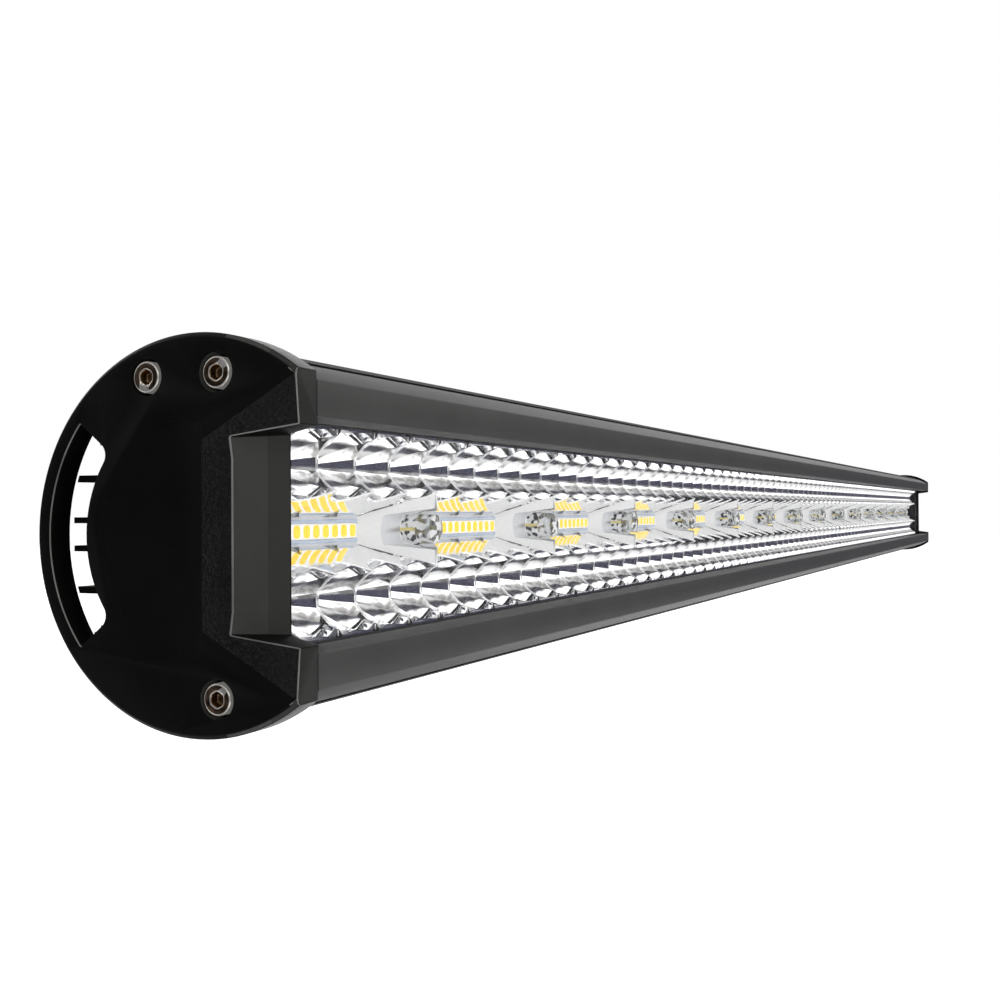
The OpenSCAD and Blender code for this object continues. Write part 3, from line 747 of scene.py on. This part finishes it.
def bore_wall(patch, crest):
    """The polished bore round a lens, up to the ramps and the pocket, with a bead on its rim."""
    ring = bore_ring()
    for (ax, az), (bx, bz) in zip(ring, ring[1:] + ring[:1]):
        ha, hb = (min(ramp_h(abs(x)), pocket_h(z)) for x, z in ((ax, az), (bx, bz)))
        points = [(crest + ax, -BORE_SUNK, az), (crest + bx, -BORE_SUNK, bz), (crest + bx, hb, bz),
                  (crest + ax, ha, az)]
        at_a, at_b = (-ax, 0, -az), (-bx, 0, -bz)
        patch.face(points, [at_a, at_b, at_b, at_a], MIRROR_GLOW_SLOT)
    for s in (-1, 1):
        line = []
        for i in range(BORE_SIDES + 1):
            t = math.pi * (i / BORE_SIDES - 0.5)
            x, z = BORE_R * math.cos(t), BORE_R * math.sin(t)
            if x > CREST_HALF_T + BORE_RIM_R:
                line.append((crest + s * x, min(ramp_h(x), pocket_h(z)) - BORE_RIM_R / 4, z))
        bead(patch, line, BORE_RIM_R)


def crest_walls(patch, crest):
    """A thin upright wall across the row, left open round the lens."""
    top = CREST_H
    inner = BORE_R
    outer = wall_z(top)
    foot = POCKET_H - CREST_SUNK
    a, b = crest - CREST_HALF_T, crest + CREST_HALF_T
    for side in (-1, 1):
        for s, x in ((-1, a), (1, b)):
            outline = [(x, foot, side * inner), (x, top, side * outer), (x, top, side * inner)]
            patch.face(outline, None, SATIN_SHADE_SLOT, s * side < 0)
        lid = [(a, top, side * inner), (b, top, side * inner), (b, top, side * outer),
               (a, top, side * outer)]
        patch.face(lid, None, SATIN_SLOT, side < 0)
        cheek = [(a, foot, side * inner), (b, foot, side * inner), (b, top, side * inner),
                 (a, top, side * inner)]
        patch.face(cheek, flip=side > 0)


def strip_floor(patch, k, x0, x1):
    """The floor round a strip's slot, and the slot's walls."""
    mid, half = strip_span(k)
    side_z = wall_z(FLOOR_H)
    a, b = max(mid - half, x0), min(mid + half, x1)
    if b - a < FINE:
        return
    for side in (-1, 1):
        z = side * STRIP_HALF_H
        lid = [(a, FLOOR_H, z), (b, FLOOR_H, z), (b, FLOOR_H, side * side_z),
               (a, FLOOR_H, side * side_z)]
        patch.face(lid, None, SATIN_SHADE_SLOT, side < 0)
        cheek = [(a, -SLOT_SUNK, z), (b, -SLOT_SUNK, z), (b, FLOOR_H, z), (a, FLOOR_H, z)]
        patch.face(cheek, flip=side < 0)
    for s, end in ((-1, a), (1, b)):
        if abs(end - (mid + s * half)) < FINE:
            wall = [(end, -SLOT_SUNK, -STRIP_HALF_H), (end, -SLOT_SUNK, STRIP_HALF_H),
                    (end, FLOOR_H, STRIP_HALF_H), (end, FLOOR_H, -STRIP_HALF_H)]
            patch.face(wall, flip=s < 0)


def bead(patch, points, radius, sides=5):
    """A fine rounded bead along a line of (x, h, z) points. Its lower part is sunk."""
    rings, ways = [], []
    for i, p in enumerate(points):
        q0, q1 = points[max(i - 1, 0)], points[min(i + 1, len(points) - 1)]
        along = (Vector(q1) - Vector(q0)).normalized()
        across = along.cross(Vector((0, 1, 0))).normalized()
        up = across.cross(along)
        way = [across * math.cos(math.pi * j / sides) + up * math.sin(math.pi * j / sides)
               for j in range(sides + 1)]
        ways.append(way)
        rings.append([tuple(Vector(p) + w * radius) for w in way])
    for r0, r1, w0, w1 in zip(rings, rings[1:], ways, ways[1:]):
        for j in range(sides):
            corners = [r0[j], r0[j + 1], r1[j + 1], r1[j]]
            normals = [tuple(w) for w in (w0[j], w0[j + 1], w1[j + 1], w1[j])]
            a, b, c = (Vector(corners[k]) for k in (0, 1, 3))
            # Patch points are mirrored in depth, so the winding is the other way about
            outward = Vector(normals[0]) + Vector(normals[1])
            # Beads take the bore's glowing mirror: a painted highlight along each rim.
            patch.face(corners, normals, MIRROR_GLOW_SLOT, (b - a).cross(c - a).dot(outward) > 0)


def scallop_rims(patch, first, last, side, x0, x1):
    """The fine beads where cups meet the centre row, and along the ridges between cups."""
    for col in range(first, last):
        cx = ridge_x(col + 0.5)
        line = []
        for i in range(RIM_STEPS + 1):
            dx = (i / RIM_STEPS - 0.5) * PITCH
            if x0 + RIM_R < cx + dx < x1 - RIM_R:
                h = rim_height(dx)
                line.append((cx + dx, h - RIM_SUNK, side * (wall_z(h) + RIM_SUNK)))
        if len(line) > 1:
            bead(patch, line, RIM_R)
    foot = wall_z(rim_height(PITCH / 2))
    for k in range(first, last + 1):
        x = ridge_x(k)
        if not x0 + RIM_R < x < x1 - RIM_R:
            continue
        line = []
        for i in range(RIM_STEPS + 1):
            z = foot + (OUTER_WALL - foot) * i / RIM_STEPS
            line.append((x, min(ridge_height(z - ROW_Z), DEPTH - RIM_R), side * z))
        bead(patch, line, RIM_R)


def reflector(i):
    """One module's reflector: its two rows of cups, and the centre row between them."""
    node = f"reflector_{i}"
    x0, x1 = module_span(i)
    first, last = module_columns(i)
    patch = Patch()
    for col in range(first, last):
        for side in (-1, 1):
            cup(patch, ridge_x(col + 0.5), side, x0, x1)
    for k in range(first, last + 1):
        for side in (-1, 1):
            ridge_fill(patch, k, side, x0, x1)
    for side in (-1, 1):
        scallop_rims(patch, first, last, side, x0, x1)
    centre_row(patch, x0, x1)
    for k in STRIP_COLS:
        strip_floor(patch, k, x0, x1)
    link_piece(f"reflector_mirror_{i}", patch.mesh(node + "_mesh"), REFLECTOR_LOOKS,
               [node])


# ---------------------------------------- copies of CAD nodes, edges eased

# Turns between faces, in degrees: joined as one flat face, given an eased edge, shaded smooth
JOIN_ANGLE, EASE_ANGLE, COPY_SMOOTH_ANGLE, SMOOTH_ANGLE = 0.6, 28, 32, 35


def eased_copy(node, name, width, materials, pick=None, segments=2, bevel_look=-1):
    """A copy of a CAD node with flat faces joined and its sharp edges rounded off."""
    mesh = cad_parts[node].data.copy()
    mesh.materials.clear()
    bm = bmesh.new()
    bm.from_mesh(mesh)
    bmesh.ops.remove_doubles(bm, verts=bm.verts, dist=1e-6)
    bmesh.ops.dissolve_limit(bm, angle_limit=math.radians(JOIN_ANGLE), verts=bm.verts,
                             edges=bm.edges)
    bm.to_mesh(mesh)
    bm.free()
    obj = link_piece(name, mesh, materials, [node])
    if width:
        m = obj.modifiers.new("ease", "BEVEL")
        m.width = width * MM
        m.segments = segments
        m.limit_method = "ANGLE"
        m.angle_limit = math.radians(EASE_ANGLE)
        m.use_clamp_overlap = False
        m.material = bevel_look
        m.miter_outer = "MITER_ARC"
    bpy.context.view_layer.update()
    done = bpy.data.meshes.new_from_object(obj.evaluated_get(bpy.context.evaluated_depsgraph_get()))
    obj.modifiers.clear()
    obj.data = done
    smooth_by_angle(done, COPY_SMOOTH_ANGLE)
    if pick:
        for p in done.polygons:
            p.material_index = pick(p)
    return obj


def smooth_by_angle(mesh, degrees):
    bm = bmesh.new()
    bm.from_mesh(mesh)
    limit = math.radians(degrees)
    for f in bm.faces:
        f.smooth = True
    for e in bm.edges:
        e.smooth = len(e.link_faces) == 2 and e.calc_face_angle(0) < limit
    bm.to_mesh(mesh)
    bm.free()


# The end plate's looks, and where each lies: depth, height and radius from the bar's axis, and
# distance in from the end face, in millimetres. A turn is the part of a face's normal that lies
# along the bar, and a scoop's panels face forwards by at least SCOOP_FACING. The looks are lit
# and shaded copies of the plate's one black coat, picked by the way each face turns and where it
# lies: painted light and shade, with a painted highlight on the eased edges.
PLATE_LOOKS = [PLATE, PLATE_COARSE, SCOOP_COAT, SCOOP_DEEP, RAIL, HORN_COAT, EDGE]
FACE, COARSE, SCOOP, DEEP, FLANK, HORN, HIGHLIT = range(len(PLATE_LOOKS))
FLAT_TURN, FACET_TURN, SCOOP_TURN, FLANK_TURN = 0.9985, 0.9, 0.95, 0.3
SCOOP_FACING = -0.15
NOTCH_DEPTH, NOTCH_HALF, NOTCH_IN = (-27, -8.5), 24.5, 3.2
CORNER_DEPTH, CORNER_Z, CORNER_IN = -22, (23, 34.5), 2.2
VENT_R, VENT_HALF, VENT_IN = (39, 42.5), 28, 0.5
FLANK_R, FLANK_DEPTH = 43, -10
HORN_DEPTH = -20
DEEP_IN, DEEP_HALF = 8.3, 24

# The end plate's screws, as (depth, height) from the axis, and their sockets
SCREWS = [(12.5, 34.8), (-6.2, 35), (-6.2, -35)]
SOCKET_R, SOCKET_IN = 1.72, 3


def edge_gets_highlight(depth, height, radius, inwards):
    """The eased edges that take the painted highlight: round the notch, at its outer corners and
    round the vent.
    """
    notch = NOTCH_DEPTH[0] < depth < NOTCH_DEPTH[1] and height < NOTCH_HALF
    corner = depth < CORNER_DEPTH and CORNER_Z[0] < height < CORNER_Z[1]
    vent = depth > 0 and VENT_R[0] < radius < VENT_R[1] and height < VENT_HALF
    return (notch and inwards < NOTCH_IN) or (corner and inwards < CORNER_IN) \
        or (vent and inwards < VENT_IN)


def plate_slot(p):
    """Which lit or shaded copy of the plate's coat each face takes: painted light and shade."""
    n, c = p.normal, p.center / MM
    depth, height, inwards = c.y - AXIS_Y, abs(c.z), HALF_L - abs(c.x)
    radius = math.hypot(depth, height)
    if p.material_index == HIGHLIT:
        return HIGHLIT if edge_gets_highlight(depth, height, radius, inwards) else FACE
    if FACET_TURN < abs(n.x) < FLAT_TURN:
        return COARSE
    if abs(n.x) < FLANK_TURN and radius > FLANK_R and depth < FLANK_DEPTH:
        return FLANK
    if abs(n.x) < SCOOP_TURN and n.y < SCOOP_FACING and depth < 0:
        if depth < HORN_DEPTH:
            return HORN
        return DEEP if inwards > DEEP_IN and height < DEEP_HALF else SCOOP
    return FACE


def screw_slot(p):
    """1 inside the hexagon socket, where the darker steel paints the recess's shade, and 0 on the
    rest of the screw.
    """
    c = p.center / MM
    near = min(math.hypot(c.y - AXIS_Y - y, c.z - z) for y, z in SCREWS)
    return 1 if near < SOCKET_R and HALF_L - abs(c.x) < SOCKET_IN else 0


for end in ("left", "right"):
    eased_copy(f"end_plate_{end}", f"end_plate_{end}_body", 0.24, PLATE_LOOKS,
               plate_slot, bevel_look=HIGHLIT)
for end in ("left", "right"):
    eased_copy(f"end_screws_{end}", f"end_screws_{end}_body", 0.42, [STEEL, SOCKET],
               screw_slot, segments=3)
for rail in ("upper", "lower"):
    body = eased_copy(f"{rail}_front_rail", f"{rail}_rail_body", 0.3, [RAIL])
    body.visible_glossy = False
eased_copy("housing", "housing_body", 0.0, [HOUSING])
for i in range(1, len(MODULE_COLS) + 1):
    reflector(i)


# ---------------------------------------- strips, chips and lenses

def rounded_slab(bm, x, z, half, y_top, y_bottom, r, inset, steps):
    """A rounded-rectangle slab with an eased top edge, in the plan of the boards."""
    def ring(hw, hh, r, y):
        points = []
        for q, (sx, sz) in enumerate(((1, 1), (-1, 1), (-1, -1), (1, -1))):
            for i in range(steps + 1):
                a = math.pi / 2 * (q + i / steps)
                points.append(Vector(((x + sx * (hw - r) + r * math.cos(a)) * MM, y * MM,
                                      (z + sz * (hh - r) + r * math.sin(a)) * MM)))
        return [bm.verts.new(p) for p in points]
    hw, hh = half
    rings = [ring(hw, hh, r, y_bottom), ring(hw, hh, r, y_top + inset),
             ring(hw - inset, hh - inset, r - inset, y_top)]
    n = len(rings[0])
    for lower, upper in zip(rings, rings[1:]):
        for i in range(n):
            bm.faces.new((lower[i], upper[i], upper[(i + 1) % n], lower[(i + 1) % n]))
    bm.faces.new(rings[-1][::-1])
    bm.faces.new(rings[0])


def bm_piece(name, bm, materials, replaced):
    bmesh.ops.recalc_face_normals(bm, faces=bm.faces)
    mesh = bpy.data.meshes.new(name)
    bm.to_mesh(mesh)
    bm.free()
    smooth_by_angle(mesh, SMOOTH_ANGLE)
    link_piece(name, mesh, materials, replaced)


# Chips: half sizes of a package and its phosphor, and the phosphor's corner radius
STRIP_CHIP = ((2.1, 1.95), (1.45, 1.62), 1.0)
CUP_CHIP = ((1.75, 1.75), (1.3, 1.3), 0.9)
PACKAGE_BACK = 0.12  # package's face behind the phosphor's
PACKAGE_R, PACKAGE_EASE = 0.25, 0.1
PHOSPHOR_T, PHOSPHOR_EASE = 0.2, 0.08


def chip(bodies, glows, x, z, package, glow, glow_r):
    """One LED: its pale package, and the phosphor that stands just out of it."""
    rounded_slab(bodies, x, z, package, CHIP_FACE + PACKAGE_BACK, BOARD_FACE, PACKAGE_R,
                 PACKAGE_EASE, 2)
    rounded_slab(glows, x, z, glow, CHIP_FACE, CHIP_FACE + PHOSPHOR_T, glow_r, PHOSPHOR_EASE, 4)


def leds(kind, i, spots, sizes):
    """A module's chips of one kind, at (x, z) spots."""
    bodies, glows = bmesh.new(), bmesh.new()
    for x, z in spots:
        chip(bodies, glows, x, z, *sizes)
    bm_piece(f"{kind}_led_bodies_{i}", bodies, [PACKAGE], [f"{kind}_leds_{i}"])
    bm_piece(f"{kind}_led_phosphors_{i}", glows, [PHOSPHOR], None)


def strip_leds(i):
    x0, x1 = module_span(i)
    places = [strip_span(k)[0] + (n - (STRIP_CHIPS - 1) / 2) * STRIP_CHIP_PITCH
              for k in STRIP_COLS for n in range(STRIP_CHIPS)]
    leds("strip", i, [(x, 0) for x in places if x0 < x < x1], STRIP_CHIP)


def cup_leds(i):
    """One chip in each cup but those at the bar's ends, and one under each lens."""
    first, last = module_columns(i)
    spots = [(ridge_x(c + 0.5), s * ROW_Z) for c in range(first, last)
             for s in (-1, 1) if 0 < c < CUP_COLS - 1]
    leds("cup", i, spots + [(x, 0) for x in module_crests(i)], CUP_CHIP)


def turned(bm, x, profile, segments=40):
    """A turned piece on the bar's middle line, from its (radius, depth) profile."""
    rings = []
    for r, y in profile:
        if r < FINE:
            rings.append([bm.verts.new((x * MM, y * MM, 0))])
            continue
        rings.append([bm.verts.new(((x + r * math.cos(t)) * MM, y * MM, r * math.sin(t) * MM))
                      for t in (2 * math.pi * i / segments for i in range(segments))])
    for a, b in zip(rings, rings[1:]):
        for i in range(segments):
            j = (i + 1) % segments
            if len(a) == 1:
                bm.faces.new((a[0], b[i], b[j]))
            elif len(b) == 1:
                bm.faces.new((a[i], a[j], b[0]))
            else:
                bm.faces.new((a[i], a[j], b[j], b[i]))


def lens_profile():
    """(radius, depth) round a lens: a hollow over the chip, a foot, a rod and a low dome."""
    arc_steps, ease_steps, crown_steps = 7, 6, 8
    shoulder = LENS_BASE - LENS_FOOT_H
    points = [(r, LENS_BASE - h) for r, h in LENS_HOLLOW] + [(LENS_R, LENS_BASE)]
    for i in range(arc_steps + 1):
        a = LENS_TURN * i / arc_steps
        points.append((LENS_R * math.cos(a), shoulder - LENS_R * math.sin(a)))
    rim_r = LENS_BODY_R - LENS_EDGE
    sag = LENS_CROWN_R - math.sqrt(LENS_CROWN_R ** 2 - rim_r ** 2)
    for i in range(ease_steps):
        a = math.pi / 2 * i / ease_steps
        points.append((rim_r + LENS_EDGE * math.cos(a),
                       LENS_TIP + sag + LENS_EDGE * (1 - math.sin(a))))
    for i in range(crown_steps + 1):
        r = rim_r * (1 - i / crown_steps)
        points.append((r, LENS_TIP + LENS_CROWN_R - math.sqrt(LENS_CROWN_R ** 2 - r * r)))
    return points


def lenses(i):
    bm = bmesh.new()
    for x in module_crests(i):
        turned(bm, x, lens_profile())
    body_starts = (LENS_BASE - LENS_FOOT_H - LENS_R * math.sin(LENS_TURN)) * MM
    for f in bm.faces:
        f.material_index = 1 if f.calc_center_median().y > body_starts else 0
    bm_piece(f"projector_lens_{i}", bm, [LENS, LENS_FOOT],
             [f"projector_lenses_{i}"])


def strip_rails(i):
    """The two low rounded beads along each strip."""
    x0, x1 = module_span(i)
    bm = bmesh.new()
    for k in STRIP_COLS:
        mid, half = strip_span(k)
        if not x0 < mid < x1:
            continue
        for side in (-1, 1):
            z = side * (STRIP_HALF_H + STRIP_BEAD_OUT)
            rings = []
            for end in (mid - half + STRIP_BEAD_SHORT, mid + half - STRIP_BEAD_SHORT):
                rings.append([bm.verts.new((
                    end * MM, (BACK - FLOOR_H - STRIP_BEAD_R * math.sin(a)) * MM,
                    (z + STRIP_BEAD_R * math.cos(a)) * MM))
                    for a in (math.pi * j / STRIP_BEAD_SIDES
                              for j in range(STRIP_BEAD_SIDES + 1))])
            for j in range(STRIP_BEAD_SIDES):
                bm.faces.new((rings[0][j], rings[0][j + 1], rings[1][j + 1], rings[1][j]))
            for ring in rings:
                bm.faces.new(ring)
            bm.faces.new((rings[0][0], rings[0][-1], rings[1][-1], rings[1][0]))
    bm_piece(f"strip_rails_{i}", bm, [STRIP_RAIL], None)


# Along a ramp's edge, as fractions of the ramp from its crest, half width and height proud
# The dark strips are painted shade: dark rubber laid along the crease where a ramp meets the row's
# wall.
JOINT_SHADE_STRIPS = [(0.98, 0.78, 0.13, 0.03), (0.80, 0.56, 0.24, 0.04), (0.475, 0.45, 0.2, 0.1)]
JOINT_CLIPS = [(at, at - 0.05, 0.34, 0.12) for at in (0.53, 0.44, 0.35)]
JOINT_STEPS = 6
JOINT_SUNK = 0.1


def ramp_gaps(i):
    """Dark strips of painted shade along the joints at both edges of a ramp, and the pale clips
    that hold them.
    """
    dark, clips = bmesh.new(), bmesh.new()
    for crest in module_crests(i):
        for s in (-1, 1):
            for side in (-1, 1):
                for strips, bm in ((JOINT_SHADE_STRIPS, dark), (JOINT_CLIPS, clips)):
                    for strip in strips:
                        gap_strip(bm, crest, s, side, *strip)
    bm_piece(f"ramp_joint_painted_shade_{i}", dark, [RUBBER], None)
    bm_piece(f"ramp_joint_clips_{i}", clips, [CLIP], None)


def gap_strip(bm, crest, s, side, t0, t1, half, proud):
    """A low ridge that follows the line where a ramp meets the row's wall."""
    rings = []
    for j in range(JOINT_STEPS + 1):
        u = RAMP_L * (t0 + (t1 - t0) * j / JOINT_STEPS)
        h = ramp_h(u)
        z = wall_z(h)
        section = [(z - half, h - JOINT_SUNK), (z - half, h + proud),
                   (z + half, h + proud + half), (z + half, h - JOINT_SUNK)]
        rings.append([bm.verts.new(((crest + s * u) * MM, (BACK - y) * MM, side * q * MM))
                      for q, y in section])
    for a, b in zip(rings, rings[1:]):
        for j in range(4):
            bm.faces.new((a[j], a[(j + 1) % 4], b[(j + 1) % 4], b[j]))
    bm.faces.new(rings[0])
    bm.faces.new(rings[-1])


for i in range(1, len(MODULE_COLS) + 1):
    strip_leds(i)
    cup_leds(i)
    lenses(i)
    strip_rails(i)
    ramp_gaps(i)


# ---------------------------------------- carried-over CAD nodes

PAINT = {"front_cover": COVER, "cover_gasket": RUBBER, "end_gasket_left": RUBBER,
         "end_gasket_right": RUBBER, "board_links": STEEL, "board_screws": STEEL,
         "driver_board": GREEN, "driver_parts": DARK_PART, "supply_leads": WIRE,
         "gland_body": NYLON, "gland_seal": RUBBER, "gland_nut": NYLON, "breather_valve": NYLON}
PAINT.update({f"led_board_{i}": BOARD for i in range(1, len(MODULE_COLS) + 1)})
for node, material in PAINT.items():
    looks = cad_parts[node].data.materials
    looks.clear()
    looks.append(material)


# ---------------------------------------- camera, floor and light

EYE_FROM_END = (-220.9, -171.3, 5.1)  # from the axis at the near end face
EYE_YAW, EYE_PITCH, EYE_ROLL = 24.059, 0.465, -0.326  # degrees
EYE_LENS = 45.39
FLOOR_Z, FLOOR_R, FLOOR_SIDES = -0.35, 14, 96  # metres


def place_camera():
    """The eye is low, in front of the near end, and looks along the bar."""
    ahead, deep, high = EYE_FROM_END
    eye = Vector((-HALF_L + ahead, AXIS_Y + deep, high)) * MM
    yaw, pitch, roll = (math.radians(a) for a in (EYE_YAW, EYE_PITCH, EYE_ROLL))
    forward = Vector((math.cos(yaw) * math.cos(pitch), math.sin(yaw) * math.cos(pitch),
                      math.sin(pitch)))
    flat_right = Vector((math.sin(yaw), -math.cos(yaw), 0))
    flat_up = flat_right.cross(forward)
    right = flat_right * math.cos(roll) + flat_up * math.sin(roll)
    up = flat_up * math.cos(roll) - flat_right * math.sin(roll)
    cam = bpy.data.objects.new("camera", bpy.data.cameras.new("camera"))
    bpy.context.scene.collection.objects.link(cam)
    cam.matrix_world = Matrix((
        (right.x, up.x, -forward.x, eye.x),
        (right.y, up.y, -forward.y, eye.y),
        (right.z, up.z, -forward.z, eye.z),
        (0, 0, 0, 1)))
    cam.data.lens = EYE_LENS
    cam.data.sensor_width = 36
    cam.data.clip_start = 0.01
    bpy.context.scene.camera = cam


def place_floor():
    mesh = bpy.data.meshes.new("floor")
    turns = [2 * math.pi * i / FLOOR_SIDES for i in range(FLOOR_SIDES)]
    mesh.from_pydata([(FLOOR_R * math.cos(t), FLOOR_R * math.sin(t), FLOOR_Z) for t in turns], [],
                     [list(range(FLOOR_SIDES))])
    floor = bpy.data.objects.new("floor", mesh)
    bpy.context.scene.collection.objects.link(floor)
    m, _, bsdf = new_material("pale_floor")
    bsdf.inputs["Base Color"].default_value = (0.95, 0.95, 0.95, 1)
    bsdf.inputs["Roughness"].default_value = 0.9
    mesh.materials.append(lit(m, (1, 1, 1), 0.5))
    floor.visible_glossy = False


# Brightness of the room by height, from straight down at 0 to straight up at 1
ROOM_LEVELS = [
    (0.0, 1.9), (0.025, 1.9), (0.035, 0.1), (0.055, 0.12), (0.065, 0.8), (0.095, 0.6),
    (0.105, 0.1), (0.135, 0.14), (0.15, 0.8), (0.19, 1.1), (0.21, 1.8), (0.335, 1.8),
    (0.355, 0.55), (0.43, 0.5), (0.45, 0.04), (0.54, 0.04), (0.56, 0.5), (0.635, 0.55),
    (0.655, 1.8), (0.79, 1.7), (0.81, 1.0), (0.85, 0.6), (0.865, 0.1), (0.89, 0.12),
    (0.905, 0.8), (0.935, 0.6), (0.945, 0.1), (0.965, 0.12), (0.975, 1.9), (1.0, 1.9)]
# The wall past the near end is dark, so that the end plate stays nearly black
FLAG_WAY = (-0.9, 0.43, 0.0)
FLAG_LEVELS = [(0.0, 1.0), (0.78, 1.0), (0.9, 0.12), (1.0, 0.05)]
SHADE_BLUE, SHADE_BELOW = 0.06, 0.6  # levels darker than this turn bluish
PATCH_SCALE = 4.2
PATCH_LEVELS = [(0.37, (0.35, 0.34, 0.33)), (0.53, (1.15,))]


def levels(tree, source, stops):
    """Brightness by a value that runs from -1 to 1, given as (0 to 1, brightness) stops."""
    half = tree.nodes.new("ShaderNodeMath")
    half.operation = "MULTIPLY_ADD"
    half.inputs[1].default_value = 0.5
    half.inputs[2].default_value = 0.5
    tree.links.new(source, half.inputs[0])
    return ramp(tree, half.outputs[0], [(at, (v, v, v + SHADE_BLUE * max(SHADE_BELOW - v, 0)))
                                        for at, v in stops])


def times(tree, a, b):
    m = tree.nodes.new("ShaderNodeMix")
    m.data_type = "RGBA"
    m.blend_type = "MULTIPLY"
    m.inputs["Factor"].default_value = 1.0
    tree.links.new(a, m.inputs["A"])
    tree.links.new(b, m.inputs["B"])
    return m.outputs["Result"]


def light_world():
    """A white studio with soft boxes above and below, and a dim room at eye level."""
    world = bpy.data.worlds.new("studio")
    bpy.context.scene.world = world
    world.use_nodes = True
    tree = world.node_tree
    nodes, links = tree.nodes, tree.links
    nodes.clear()
    out = nodes.new("ShaderNodeOutputWorld")
    seen = nodes.new("ShaderNodeBackground")
    seen.inputs["Color"].default_value = (1, 1, 1, 1)
    room = nodes.new("ShaderNodeBackground")
    place = nodes.new("ShaderNodeTexCoord")
    split = nodes.new("ShaderNodeSeparateXYZ")
    links.new(place.outputs["Generated"], split.inputs["Vector"])
    height = levels(tree, split.outputs["Z"], ROOM_LEVELS)
    side = nodes.new("ShaderNodeVectorMath")
    side.operation = "DOT_PRODUCT"
    side.inputs[1].default_value = FLAG_WAY
    links.new(place.outputs["Generated"], side.inputs[0])
    flag = levels(tree, side.outputs["Value"], FLAG_LEVELS)
    cloud = nodes.new("ShaderNodeTexNoise")
    cloud.inputs["Scale"].default_value = PATCH_SCALE
    cloud.inputs["Detail"].default_value = 2.0
    links.new(place.outputs["Generated"], cloud.inputs["Vector"])
    patches = ramp(tree, cloud.outputs["Fac"], PATCH_LEVELS)
    links.new(times(tree, times(tree, height, flag), patches), room.inputs["Color"])
    path = nodes.new("ShaderNodeLightPath")
    mix = nodes.new("ShaderNodeMixShader")
    links.new(path.outputs["Is Camera Ray"], mix.inputs["Fac"])
    links.new(room.outputs["Background"], mix.inputs[1])
    links.new(seen.outputs["Background"], mix.inputs[2])
    links.new(mix.outputs["Shader"], out.inputs["Surface"])


bpy.context.scene.view_settings.view_transform = "Standard"
place_camera()
place_floor()
light_world()
